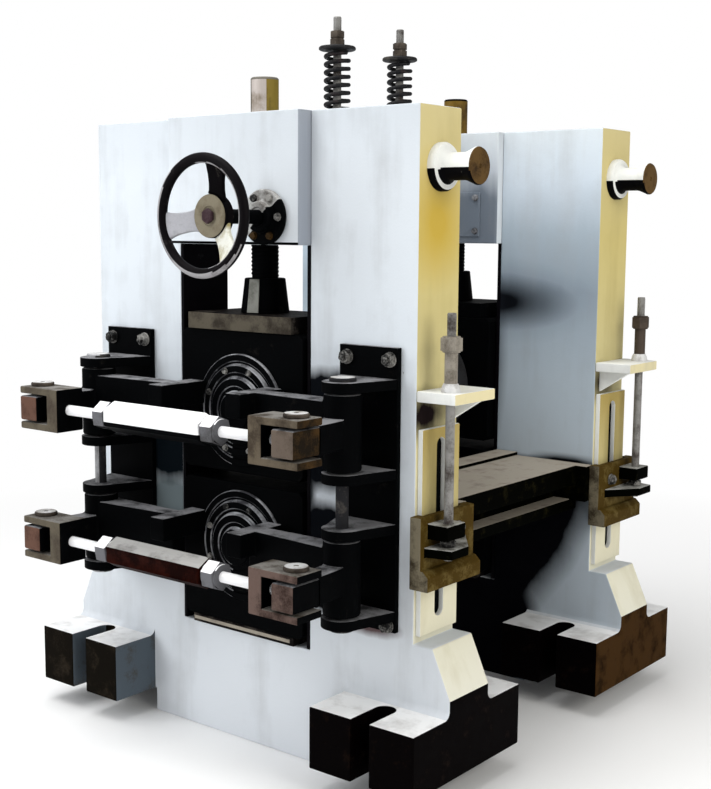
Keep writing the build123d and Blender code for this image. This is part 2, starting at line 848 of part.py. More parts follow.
# Rest bar between the housings
def make_rest_bar():
    """Builds one flanged rest bar with a ledge and end plates that reach the sliders."""
    length = half * (half_spacing - half_depth - rest_bar_gap)
    foot = rest_bar_bottom + rest_bar_foot
    flange = rest_bar_level - rest_bar_flange
    section = [
        (rest_bar_web_inner, rest_bar_bottom),
        (rest_bar_foot_outer, rest_bar_bottom),
        (rest_bar_foot_outer, foot),
        (rest_bar_web_outer, foot),
        (rest_bar_web_outer, flange),
        (rest_bar_outer, flange),
        (rest_bar_outer, rest_bar_level),
        (rest_bar_inner + rest_bar_ledge_width, rest_bar_level),
        (rest_bar_inner + rest_bar_ledge_width, rest_bar_level + rest_bar_ledge_height),
        (rest_bar_inner, rest_bar_level + rest_bar_ledge_height),
        (rest_bar_inner, flange),
        (rest_bar_web_inner, flange),
    ]
    bar = slab_xz(section, -length / half, length)
    for way in (-1, 1):
        y = way * (length / half - rest_bar_end_depth / half)
        bar += box_at(rest_bar_web_inner, y, rest_bar_level - rest_bar_end_height,
                      slider_back - rest_bar_web_inner, rest_bar_end_depth,
                      rest_bar_end_height, align=INNER)
    return bar


save("right_rest_bar", make_rest_bar())


# Lifting trunnions
def make_trunnion():
    """Builds one lifting trunnion with its flared end on a post."""
    shaft = trunnion_shaft_diameter / half
    rim = trunnion_end_diameter / half
    flare_start = trunnion_reach - trunnion_end_thickness - trunnion_flare
    trunnion = post(0, 0, 0, trunnion_flange_diameter, trunnion_flange_thickness)
    trunnion += post(0, 0, 0, trunnion_shaft_diameter, trunnion_reach)
    trunnion += Pos(0, 0, flare_start) * Cone(shaft, rim, trunnion_flare, align=LOW)
    end = trunnion_reach - trunnion_end_thickness
    trunnion += post(0, 0, end, trunnion_end_diameter, trunnion_end_thickness)
    return Pos(half_width, 0, trunnion_level) * Rot(0, 90, 0) * trunnion


save("lifting_trunnions", *both(make_trunnion()))
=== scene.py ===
"""Dresses the two-high rolling mill stand: housings, screw-down, lever gear, height gear and rest bar."""

import logging
import math
from dataclasses import dataclass, field
from enum import Enum
from typing import Any, Callable, Sequence

import bmesh
import bpy
from mathutils import Matrix, Vector


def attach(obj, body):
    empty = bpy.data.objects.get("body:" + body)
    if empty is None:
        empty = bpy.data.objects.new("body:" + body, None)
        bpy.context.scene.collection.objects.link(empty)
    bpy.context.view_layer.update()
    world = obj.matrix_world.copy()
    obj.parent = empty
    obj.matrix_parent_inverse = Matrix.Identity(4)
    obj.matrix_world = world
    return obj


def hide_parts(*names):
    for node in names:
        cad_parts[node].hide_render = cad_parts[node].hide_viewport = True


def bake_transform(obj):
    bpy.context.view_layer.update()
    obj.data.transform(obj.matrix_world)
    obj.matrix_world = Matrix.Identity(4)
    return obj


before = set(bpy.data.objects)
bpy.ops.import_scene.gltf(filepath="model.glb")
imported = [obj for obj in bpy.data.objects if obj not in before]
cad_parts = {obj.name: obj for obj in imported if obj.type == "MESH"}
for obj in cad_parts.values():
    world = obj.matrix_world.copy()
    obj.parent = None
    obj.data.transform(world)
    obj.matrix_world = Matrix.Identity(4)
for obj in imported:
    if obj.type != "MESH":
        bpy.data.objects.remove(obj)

log = logging.getLogger("mill_stand")
Pair = tuple[float, float]
Triple = tuple[float, float, float]
Stops = Sequence[tuple[float, Triple]]
Test = Callable[[Vector, Vector], bool]
Paints = Sequence[tuple[str, Test]]
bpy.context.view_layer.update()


class Side(Enum):
    """Names the housing that a piece belongs to."""

    NEAR = -1
    FAR = 1


class Hand(Enum):
    """Names the side of the pass line's centre."""

    LEFT = -1
    RIGHT = 1


BOTH_SIDES = (Side.NEAR, Side.FAR)
BOTH_HANDS = (Hand.RIGHT, Hand.LEFT)
HALF_SPACING = 0.425
HALF_DEPTH = 0.082
HALF_WIDTH = 0.535
SLOT_PLATE_FACE = 0.549


# Materials


class Signal:
    """Wraps a shader socket, so that sums on it add Math nodes."""

    def __init__(self, shader: "Shader", socket: Any) -> None:
        """Keeps the shader and the wrapped socket."""
        self.shader = shader
        self.socket = socket

    def _math(self, operation: str, first: Any, second: Any = None, clamp: bool = False) -> "Signal":
        """Adds one Math node.

        Args:
            operation: the Math node's operation.
            first: its first value or signal.
            second: its second value or signal, if it has one.
            clamp: whether the result is held between 0 and 1.

        Returns:
            The node's result.
        """
        inputs = {0: first} if second is None else {0: first, 1: second}
        return self.shader.add("ShaderNodeMath", {"operation": operation, "use_clamp": clamp}, inputs)

    def __add__(self, other: Any) -> "Signal":
        """Adds."""
        return self._math("ADD", self, other)

    def __radd__(self, other: Any) -> "Signal":
        """Adds from the left."""
        return self._math("ADD", other, self)

    def __sub__(self, other: Any) -> "Signal":
        """Subtracts."""
        return self._math("SUBTRACT", self, other)

    def __rsub__(self, other: Any) -> "Signal":
        """Subtracts from the left."""
        return self._math("SUBTRACT", other, self)

    def __mul__(self, other: Any) -> "Signal":
        """Multiplies."""
        return self._math("MULTIPLY", self, other)

    def __rmul__(self, other: Any) -> "Signal":
        """Multiplies from the left."""
        return self._math("MULTIPLY", other, self)

    def __truediv__(self, other: Any) -> "Signal":
        """Divides."""
        return self._math("DIVIDE", self, other)

    def __rtruediv__(self, other: Any) -> "Signal":
        """Divides from the left."""
        return self._math("DIVIDE", other, self)

    def clamped(self) -> "Signal":
        """Holds the signal between 0 and 1."""
        return self._math("ADD", self, 0.0, clamp=True)

    def above(self, level: float, soft: float) -> "Signal":
        """Turns the signal into a mask that rises over a soft edge.

        Args:
            level: where the mask reaches one half.
            soft: how wide its edge is.

        Returns:
            The mask, from 0 to 1.
        """
        return self._math("ADD", (self - level) / soft, 0.5, clamp=True)


class Shader:
    """Builds one procedural material round a Principled shader."""

    def __init__(self, name: str) -> None:
        """Makes the material with its Principled shader and the piece's own coordinates."""
        self.material = bpy.data.materials.new(name)
        self.material.use_nodes = True
        self.tree = self.material.node_tree
        self.tree.nodes.clear()
        self.body = self.tree.nodes.new("ShaderNodeBsdfPrincipled")
        self.output = self.tree.nodes.new("ShaderNodeOutputMaterial")
        self.tree.links.new(self.body.outputs[0], self.output.inputs[0])
        self.place = self.add("ShaderNodeTexCoord", output="Object")

    def add(
        self,
        kind: str,
        settings: dict[str, Any] | None = None,
        inputs: dict[Any, Any] | None = None,
        output: Any = 0,
    ) -> Signal:
        """Adds any node.

        Args:
            kind: the node's type.
            settings: its properties, or a ramp's stops under "stops".
            inputs: values or signals by socket name or number.
            output: the wanted output's name or number.

        Returns:
            The wanted output.
        """
        made = self.tree.nodes.new(kind)
        for key, value in (settings or {}).items():
            if key == "stops":
                ramp = made.color_ramp
                ramp.elements.remove(ramp.elements[-1])
                ramp.elements[0].color = (*value[0][1], 1.0)
                for where, colour in value[1:]:
                    ramp.elements.new(where).color = (*colour, 1.0)
            else:
                setattr(made, key, value)
        for key, value in (inputs or {}).items():
            self.feed(made.inputs[key], value)
        return Signal(self, made.outputs[output])

    def feed(self, socket: Any, value: Any) -> None:
        """Links a signal to a socket, or sets a plain value on it."""
        if isinstance(value, Signal):
            self.tree.links.new(value.socket, socket)
        elif isinstance(value, tuple) and len(value) == 3 and socket.type == "RGBA":
            socket.default_value = (*value, 1.0)
        else:
            socket.default_value = value

    def set(self, **values: Any) -> None:
        """Feeds sockets of the Principled shader, with _ for spaces in their names."""
        for key, value in values.items():
            self.feed(self.body.inputs[key.replace("_", " ")], value)

    def stretched(self, scale: Triple) -> Signal:
        """Returns the piece's coordinates stretched along its axes."""
        return self.add("ShaderNodeMapping", inputs={"Vector": self.place, "Scale": scale})

    def noise(self, scale: float, detail: float = 4.0, stretch: Triple | None = None) -> Signal:
        """Adds a noise pattern.

        Args:
            scale: its fineness, in cells per metre.
            detail: how many finer layers it has.
            stretch: a stretch along the piece's axes.

        Returns:
            The pattern, about 0.5 on average.
        """
        where = self.place if stretch is None else self.stretched(stretch)
        inputs = {"Vector": where, "Scale": scale, "Detail": detail, "Roughness": 0.6}
        return self.add("ShaderNodeTexNoise", inputs=inputs)

    def ramp(self, level: Any, stops: Stops) -> Signal:
        """Turns a level into colours that blend from stop to stop."""
        return self.add("ShaderNodeValToRGB", {"stops": stops}, {0: level})

    def near(self, centre: Triple, reach: Triple, rough: Any = 0.0, soft: float = 0.44) -> Signal:
        """Makes a mask that fades out round a point.

        Args:
            centre: the point, in the piece's coordinates.
            reach: how far the mask reaches along each axis.
            rough: a pattern that makes its outline uneven.
            soft: which share of its reach is the fading edge.

        Returns:
            The mask, 1 at the point and 0 past its reach.
        """
        scale = tuple(1.0 / size for size in reach)
        shift = tuple(-place / size for place, size in zip(centre, reach))
        inputs = {"Vector": self.place, "Scale": scale, "Location": shift}
        inside = self.add("ShaderNodeMapping", inputs=inputs)
        length = self.add("ShaderNodeVectorMath", {"operation": "LENGTH"}, {0: inside}, "Value")
        return (1.0 - length - rough).above(soft / 2, soft)

    def mix(self, factor: Any, first: Any, second: Any) -> Signal:
        """Mixes two colours by a factor."""
        inputs = {0: factor, 6: first, 7: second}
        return self.add("ShaderNodeMix", {"data_type": "RGBA"}, inputs, output=2)

    def bump(self, height: Any, strength: float, distance: float) -> None:
        """Feeds a height pattern to the shader's normal."""
        inputs = {"Height": height, "Strength": strength, "Distance": distance}
        self.set(Normal=self.add("ShaderNodeBump", inputs=inputs))


@dataclass(frozen=True)
class Patch:
    """One soft patch of colour on a finish, used for stains, rubbed places and runs, and for painted shadows
    and shade.
    """

    centre: Triple
    reach: Triple
    colour: Triple
    strength: float = 1.0
    soft: float = 0.44
    uneven: float = 0.5
    top: float = 9.0


@dataclass(frozen=True)
class Enamel:
    """Light enamel brushed over rough castings, coloured by height, with grime, rubs and chips, and with soft
    patches of stains and painted shade.
    """

    name: str = "light_enamel"
    colours: Stops = ((0.0, (0.74, 0.78, 0.83)),)
    grime: Triple = (0.30, 0.30, 0.30)
    metal: Triple = (0.16, 0.14, 0.12)
    dirty: float = 0.34
    patches: tuple[Patch, ...] = ()

    def build(self) -> bpy.types.Material:
        """Returns the finished material."""
        shader = Shader(self.name)
        broad = shader.noise(2.3, 3.0)
        clouds = shader.noise(9.0, 6.0)
        runs = shader.noise(5.0, 4.0, (3.0, 3.0, 0.30))
        fine = shader.noise(160.0, 4.0)
        chips = (clouds * 0.5 + shader.noise(60.0, 5.0) * 0.5).above(0.69, 0.015) * 0.6
        dirt = ((runs * 0.6 + clouds * 0.4).above(0.60, 0.24) * self.dirty).clamped()
        height = shader.add("ShaderNodeSeparateXYZ", inputs={0: shader.place}, output=2)
        stops = [(level / 2.0, colour) for level, colour in self.colours]
        paint = shader.ramp(height * 0.5 + (runs - 0.5) * 0.05, stops)
        colour = shader.mix(broad.above(0.5, 0.6) * 0.10, paint, (0.30, 0.31, 0.33))
        colour = shader.mix(dirt, colour, self.grime)
        covered = dirt * 0.2
        for patch in self.patches:
            mask = shader.near(patch.centre, patch.reach, (clouds + runs - 1.0) * patch.uneven, patch.soft)
            mask = mask * (patch.top - height).above(0.0, 0.02)
            covered = covered + mask
            colour = shader.mix(mask * patch.strength, colour, patch.colour)
        colour = shader.mix(chips, colour, self.metal)
        shader.set(
            Base_Color=colour,
            Roughness=(0.42 + clouds * 0.20 + covered * 0.4).clamped(),
            Specular_IOR_Level=0.05,
        )
        shader.bump(fine * 0.5 + clouds * 1.2 - chips * 0.8, 0.30, 0.002)
        return shader.material


@dataclass(frozen=True)
class Blacking:
    """Black paint or oil film on iron, with worn and greasy patches."""

    name: str = "black_iron"
    colour: Triple = (0.0011, 0.0013, 0.0016)
    wear_and_sheen: Triple = (0.015, 0.013, 0.011)
    share: float = 0.68
    gloss: float = 0.012

    def build(self) -> bpy.types.Material:
        """Returns the finished material."""
        shader = Shader(self.name)
        patches = shader.noise(22.0, 6.0)
        fine = shader.noise(210.0, 3.0)
        wear_and_sheen = (patches * 0.75 + fine * 0.25).above(self.share, 0.14) * 0.8
        shader.set(
            Base_Color=shader.mix(wear_and_sheen, self.colour, self.wear_and_sheen),
            Roughness=0.38 + patches * 0.30,
            Metallic=wear_and_sheen * 0.4,
            Specular_IOR_Level=self.gloss,
        )
        shader.bump(fine * 0.6 + patches, 0.3, 0.0012)
        return shader.material


@dataclass(frozen=True)
class Steel:
    """Machined steel with tool marks, stains and an oil film."""

    name: str
    colour: Triple
    stain: Triple
    stain_level: float = 0.56
    roughness: float = 0.30
    grain: Triple = (1.0, 1.0, 1.0)
    grain_scale: float = 240.0
    metallic: float = 0.12
    gloss: float = 0.12

    def build(self) -> bpy.types.Material:
        """Returns the finished material."""
        shader = Shader(self.name)
        patches = shader.noise(16.0, 6.0)
        grain = shader.noise(self.grain_scale, 3.0, self.grain)
        stain = (patches * 0.8 + grain * 0.2).above(self.stain_level, 0.16)
        lit = tuple(min(1.0, channel * 1.15) for channel in self.colour)
        colour = shader.mix(grain.above(0.5, 0.5), self.colour, lit)
        shader.set(
            Base_Color=shader.mix(stain, colour, self.stain),
            Roughness=self.roughness + grain * 0.12 + stain * 0.22,
            Metallic=self.metallic * (1.0 - stain * 0.5),
            Specular_IOR_Level=self.gloss,
        )
        shader.bump(grain, 0.15, 0.0006)
        return shader.material


def on_front(side: Side, x: float, z: float, reach: Pair, colour: Triple, *look: float) -> Patch:
    """Returns a patch on a housing's front face.

    Args:
        side: the housing.
        x, z: the patch's middle.
        reach: how far it reaches sideways and upwards.
        colour: its colour.
        look: its strength, softness, unevenness and top, in that order.

    Returns:
        The patch.
    """
    return Patch((x, side.value * HALF_SPACING - HALF_DEPTH, z), (reach[0], 1.0, reach[1]), colour, *look)


def on_side(x: float, y: float, z: float, reach: Pair, colour: Triple, *look: float) -> Patch:
    """Returns a patch on a face that looks to the right, with the same look values as on a front."""
    return Patch((x, y, z), (1.0, *reach), colour, *look)


WHITE = (0.68, 0.73, 0.78)
SHADED = (0.66, 0.70, 0.74)
OLIVE = (0.60, 0.50, 0.19)
PALE = (0.84, 0.84, 0.78)
BLACK = (0.0030, 0.0040, 0.0060)
# Near black for the painted shadows on the far front.
SHADOW_BLACK = (0.0010, 0.0010, 0.0022)
HOUSING_PAINT = (
    (0.0, (0.70, 0.73, 0.77)), (0.5, SHADED), (0.8, WHITE), (1.45, SHADED), (1.6, (0.60, 0.64, 0.68)),
)
# The far front faces the near housing and is painted in its shade: bluish grey, darkest in a band below the
# cap.
FAR_SHADED_PAINT = (
    (0.3, (0.50, 0.56, 0.62)),
    (0.9, (0.42, 0.49, 0.55)),
    (1.15, (0.28, 0.34, 0.40)),
    (1.32, (0.42, 0.50, 0.57)),
    (1.45, (0.64, 0.72, 0.80)),
    (1.6, (0.70, 0.76, 0.80)),
)
OLIVE_PAINT = (
    (0.33, PALE),
    (0.62, (0.66, 0.62, 0.42)),
    (0.95, (0.60, 0.53, 0.27)),
    (1.3, OLIVE),
    (1.6, (0.62, 0.53, 0.26)),
)
# The far cap's front and the far inner cover lie in shade between the housings: painted dark bluish grey low,
# lighter towards the top.
FAR_CAP_SHADE = (
    (1.30, (0.13, 0.155, 0.20)),
    (1.42, (0.15, 0.18, 0.22)),
    (1.50, (0.55, 0.60, 0.66)),
    (1.6, (0.72, 0.77, 0.80)),
)
SLOT_PLATE_PAINT = (
    (0.4, (0.76, 0.74, 0.62)),
    (0.52, (0.70, 0.66, 0.48)),
    (0.66, (0.56, 0.48, 0.22)),
    (0.86, (0.40, 0.30, 0.09)),
)
# Painted shade on the near front: black round the lever gear at both levels and in the strip beside the
# window, teal grey and near black on the left post behind the turnbuckles. A maroon patch lies at the right
# lower bracket.
NEAR_SHADE_PATCHES = (
    on_front(Side.NEAR, 0.27, 0.530, (0.19, 0.150), BLACK, 1.0, 0.20, 0.20),
    on_front(Side.NEAR, 0.27, 0.848, (0.19, 0.160), BLACK, 1.0, 0.20, 0.20),
    on_front(Side.NEAR, 0.215, 0.690, (0.028, 0.100), BLACK, 0.95, 0.6, 0.20),
    on_front(Side.NEAR, 0.400, 0.392, (0.12, 0.030), (0.060, 0.012, 0.010), 0.9, 0.6, 0.5),
    on_front(Side.NEAR, -0.27, 0.600, (0.14, 0.100), (0.13, 0.17, 0.18), 0.9, 0.5, 0.25),
    on_front(Side.NEAR, -0.29, 0.765, (0.16, 0.125), (0.003, 0.006, 0.009), 1.0, 0.30, 0.20),
)
# Painted shade on the far front: a dark band under the cap and a dark strip beside the window. A painted
# shadow under the rest bar reaches down to the foot and into the corner by the slotted plate.
FAR_SHADE_PATCHES = (
    on_front(Side.FAR, 0.20, 1.120, (0.34, 0.130), (0.10, 0.13, 0.17), 0.55, 0.9, 0.10),
    on_front(Side.FAR, 0.20, 1.118, (0.28, 0.085), BLACK, 1.0, 0.75, 0.10),
    on_front(Side.FAR, 0.19, 0.960, (0.065, 0.30), (0.012, 0.014, 0.020), 0.9, 0.9, 0.10),
    on_front(Side.FAR, -0.371, 0.874, (0.995, 0.995), SHADOW_BLACK, 1.0, 0.08, 0.03, 0.674),
    on_front(Side.FAR, 0.05, 0.14, (0.36, 0.26), SHADOW_BLACK, 1.0, 0.15, 0.05),
    on_front(Side.FAR, 0.45, 0.664, (0.13, 0.06), SHADOW_BLACK, 1.0, 0.6, 0.06, 0.690),
)
# On the posts' right faces: a golden patch below the near trunnion, and painted shadows under both shelves.
SIDE_PATCHES_AND_SHELF_SHADOWS = (
    on_side(HALF_WIDTH, -0.435, 1.345, (0.13, 0.17), (0.52, 0.35, 0.040), 0.85, 0.8, 0.3),
    on_side(HALF_WIDTH, -0.475, 0.905, (0.130, 0.075), (0.010, 0.006, 0.006), 1.0, 0.8, 0.6),
    on_side(HALF_WIDTH, 0.385, 0.905, (0.120, 0.070), (0.014, 0.010, 0.008), 1.0, 0.8, 0.6),
)
# Darker olive round each slot.
SLOT_PLATE_DARKENING = (
    on_side(SLOT_PLATE_FACE, -HALF_SPACING, 0.70, (0.050, 0.20), (0.085, 0.065, 0.020), 0.75, 0.8, 0.3),
    on_side(SLOT_PLATE_FACE, HALF_SPACING, 0.70, (0.050, 0.20), (0.14, 0.11, 0.03), 0.55, 0.8, 0.3),
)
ALONG_X = (0.05, 1.0, 1.0)
ALONG_Y = (1.0, 0.05, 1.0)
ALONG_Z = (1.0, 1.0, 0.12)
FINISHES: dict[str, Any] = {
    "enamel": Enamel("light_enamel", HOUSING_PAINT),
    "near_front": Enamel("near_enamel_shaded", HOUSING_PAINT, patches=NEAR_SHADE_PATCHES),
    "far_front": Enamel("far_enamel_shaded", FAR_SHADED_PAINT, patches=FAR_SHADE_PATCHES),
    "olive": Enamel("olive_side", OLIVE_PAINT, (0.30, 0.24, 0.08), dirty=0.25, patches=SIDE_PATCHES_AND_SHELF_SHADOWS),
    "far_cap_shaded": Enamel("far_cap_shaded", FAR_CAP_SHADE),
    # The near cap's right side, painted as shade.
    "cap_side_shaded": Enamel("cap_side_shaded", ((1.3, (0.25, 0.28, 0.34)), (1.6, (0.31, 0.34, 0.39)))),
    "foot_top": Enamel("foot_top", ((0.0, (0.90, 0.90, 0.90)),), (0.22, 0.20, 0.18), dirty=0.6),
    "foot_grey": Blacking("foot_grey", (0.085, 0.105, 0.125), (0.07, 0.06, 0.05), 0.60),
    "foot_brown": Blacking("foot_brown", (0.0045, 0.0034, 0.0020), (0.022, 0.016, 0.010), 0.60),
    "foot_black": Blacking("foot_black", (0.0009, 0.0004, 0.0005), (0.010, 0.005, 0.003), 0.64),
    "foot_rust": Steel(
        "foot_rust", (0.040, 0.018, 0.004), (0.012, 0.006, 0.002), 0.56, 0.60,
        grain_scale=30.0, metallic=0.0, gloss=0.02,
    ),
    "shelf": Enamel("shelf_enamel", ((0.9, (0.80, 0.81, 0.78)),)),
    "shelf_side": Enamel("shelf_side", ((0.9, (0.74, 0.66, 0.40)),)),
    "black": Blacking(),
    "liner": Blacking("liner_black", (0.0020, 0.0015, 0.0025), (0.02, 0.02, 0.02), 0.68, 0.03),
    "wheel": Blacking("wheel_iron", (0.0030, 0.0022, 0.0030), (0.040, 0.035, 0.035), 0.66, 0.04),
    "wheel_highlight": Steel("wheel_highlight", (0.30, 0.29, 0.30), (0.10, 0.09, 0.09), 0.56, 0.36),
    "spoke_black": Blacking("spoke_black", (0.0025, 0.0020, 0.0025), (0.08, 0.07, 0.06), 0.66),
    "spoke_lit_grey": Steel("spoke_lit_grey", (0.40, 0.40, 0.43), (0.16, 0.16, 0.17), 0.60, 0.42),
    "spoke_lit_pale": Steel("spoke_lit_pale", (0.66, 0.66, 0.60), (0.30, 0.25, 0.10), 0.54, 0.42),
    "hub": Steel("hub_face", (0.190, 0.165, 0.115), (0.110, 0.085, 0.055), 0.56, 0.50),
    "nut_dark": Blacking("nut_dark", (0.050, 0.030, 0.035), (0.12, 0.09, 0.10), 0.60),
    "flange_highlit": Steel("flange_highlit", (0.42, 0.42, 0.41), (0.14, 0.13, 0.12), 0.50, 0.50),
    "worn_lit_top": Steel("worn_lit_top", (0.22, 0.22, 0.23), (0.030, 0.030, 0.032), 0.52, 0.42),
    "pin": Steel("pin_steel", (0.30, 0.30, 0.31), (0.10, 0.09, 0.09), 0.55, 0.36, (1.0, 1.0, 0.1)),
    "pin_dark": Blacking("pin_dark", (0.020, 0.020, 0.022), (0.10, 0.09, 0.08), 0.58),
    "pin_head": Steel("pin_head", (0.60, 0.60, 0.60), (0.22, 0.20, 0.18), 0.54, 0.40),
    "sleeve": Steel("sleeve_steel", (0.26, 0.235, 0.20), (0.10, 0.085, 0.065), 0.54, 0.42),
    "sleeve_far": Steel("sleeve_far", (0.060, 0.045, 0.035), (0.020, 0.015, 0.012), 0.54, 0.42),
    "trunnion_underside_shade": Blacking("trunnion_underside_shade", (0.0025, 0.0025, 0.0030), (0.25, 0.24, 0.22), 0.70),
    "oily": Steel("oily_steel", (0.070, 0.056, 0.044), (0.020, 0.015, 0.012), 0.52, 0.42),
    "fork_front": Steel("fork_front", (0.098, 0.077, 0.052), (0.045, 0.033, 0.022), 0.56, 0.48),
    "fork_low": Steel("fork_low", (0.105, 0.068, 0.056), (0.030, 0.016, 0.012), 0.56, 0.48),
    "fork_left_shaded": Steel("fork_left_shaded", (0.090, 0.075, 0.052), (0.050, 0.038, 0.028), 0.55, 0.48),
    "fork_side_shaded": Steel("fork_side_shaded", (0.042, 0.020, 0.003), (0.007, 0.004, 0.001), 0.50, 0.55),
    "fork_top_lit": Steel("fork_top_lit", (0.20, 0.19, 0.175), (0.055, 0.045, 0.035), 0.52, 0.42),
    "end_front": Steel("end_front", (0.105, 0.080, 0.062), (0.055, 0.040, 0.030), 0.56, 0.48),
    "brown": Steel("brown_end", (0.100, 0.048, 0.032), (0.045, 0.020, 0.014), 0.56, 0.50),
    "bright": Steel("bright_steel", (0.90, 0.90, 0.92), (0.60, 0.59, 0.58), 0.70, 0.34, ALONG_X),
    "nut_front": Steel("nut_front", (0.115, 0.115, 0.125), (0.05, 0.048, 0.048), 0.58, 0.40),
    "facet": Steel("grey_facet", (0.32, 0.315, 0.305), (0.15, 0.145, 0.14), 0.58, 0.40, (0.04, 1.0, 1.0)),
    "maroon": Blacking("maroon_rust", (0.0055, 0.0006, 0.0002), (0.022, 0.003, 0.001), 0.54),
    "rod": Steel("greased_rod", (0.24, 0.235, 0.225), (0.06, 0.05, 0.045), 0.53, 0.36),
    # Roll steel darkened to near black for the shade between the housings.
    "roll": Steel(
        "roll_steel", (0.020, 0.020, 0.021), (0.008, 0.007, 0.007), 0.54, 0.34,
        (1.0, 0.06, 1.0), metallic=0.2,
    ),
    "planed": Steel(
        "planed_steel", (0.31, 0.275, 0.225), (0.20, 0.17, 0.145), 0.60, 0.46, ALONG_Y, 150.0,
    ),
    "spring": Blacking("spring_black", (0.004, 0.004, 0.005), (0.05, 0.03, 0.03), 0.62, 0.20),
    "bronze": Steel("worn_trunnion_end", (0.095, 0.052, 0.014), (0.030, 0.016, 0.006), 0.55, 0.50),
    "screw": Steel("screw_steel", (0.42, 0.37, 0.34), (0.20, 0.16, 0.12), 0.58, 0.38, ALONG_Z),
    "screw_lit_olive": Steel("screw_lit_olive", (0.17, 0.120, 0.020), (0.06, 0.04, 0.01), 0.56, 0.45, ALONG_Z),
    "screw_dark": Steel("screw_dark", (0.13, 0.12, 0.10), (0.05, 0.04, 0.03), 0.56, 0.45, ALONG_Z),
    "screw_far": Steel("screw_far", (0.13, 0.075, 0.010), (0.05, 0.03, 0.01), 0.55, 0.45, ALONG_Z),
    "cup_flat": Steel("cup_flat", (0.20, 0.20, 0.18), (0.10, 0.10, 0.085), 0.58, 0.45),
    "plate": Blacking("oily_plate", (0.0060, 0.0050, 0.0050), (0.07, 0.06, 0.05), 0.58),
    "plate_front": Steel("plate_front", (0.075, 0.064, 0.046), (0.028, 0.022, 0.016), 0.52, 0.50),
    "edge": Steel("edge_highlight", (0.28, 0.285, 0.30), (0.035, 0.035, 0.040), 0.50, 0.35),
    "washer": Blacking("washer_black", (0.012, 0.012, 0.013), (0.08, 0.07, 0.06), 0.58, 0.12),
    # The bolts' pale worn patches also stand for painted highlights.
    "bolt": Blacking("bolt_black", (0.008, 0.008, 0.008), (0.34, 0.33, 0.31), 0.50, 0.12),
    "plate_side": Enamel("slot_plate", SLOT_PLATE_PAINT, (0.20, 0.15, 0.04), patches=SLOT_PLATE_DARKENING),
    "gear": Blacking("slider_olive", (0.055, 0.033, 0.006), (0.14, 0.10, 0.03), 0.55),
    "lug": Steel("lug_grey", (0.38, 0.38, 0.36), (0.08, 0.075, 0.06), 0.53, 0.45),
    "slider_front": Steel("slider_front", (0.150, 0.128, 0.085), (0.030, 0.022, 0.012), 0.52, 0.45),
    "bar_side": Blacking("bar_side_black", (0.0006, 0.0007, 0.0003), (0.012, 0.010, 0.002), 0.62, 0.004),
}
_made: dict[str, bpy.types.Material] = {}


def finish_of(name: str) -> bpy.types.Material:
    """Returns a finish's material, built once."""
    if name not in _made:
        _made[name] = FINISHES[name].build()
    return _made[name]


# Shapes


class Axis(Enum):
    """Names the direction that a shape's own Z axis is turned to."""

    RIGHT = "+X"
    LEFT = "-X"
    BACK = "+Y"
    FRONT = "-Y"
    UP = "+Z"


_TURNS: dict[Axis, Matrix] = {
    Axis.RIGHT: Matrix.Rotation(math.pi / 2, 4, "Y"),
    Axis.LEFT: Matrix.Rotation(-math.pi / 2, 4, "Y"),
    Axis.BACK: Matrix.Rotation(-math.pi / 2, 4, "X"),
    Axis.FRONT: Matrix.Rotation(math.pi / 2, 4, "X"),
    Axis.UP: Matrix.Identity(4),
}


def spot(x: float, y: float, z: float, axis: Axis = Axis.UP, turn: float = 0.0) -> Matrix:
    """Gives the place of a shape.

    Args:
        x, y, z: where its own origin goes.
        axis: where its own Z axis points.
        turn: a turn about its own Z axis, in degrees.

    Returns:
        The placing matrix.
    """
    return Matrix.Translation((x, y, z)) @ _TURNS[axis] @ Matrix.Rotation(math.radians(turn), 4, "Z")


def outward(side: Side, distance: float) -> float:
    """Returns the Y that lies a distance outwards from a housing's middle."""
    return side.value * (HALF_SPACING + distance)


def facing(side: Side) -> Axis:
    """Returns the direction that faces away from the other housing."""
    return Axis.FRONT if side is Side.NEAR else Axis.BACK


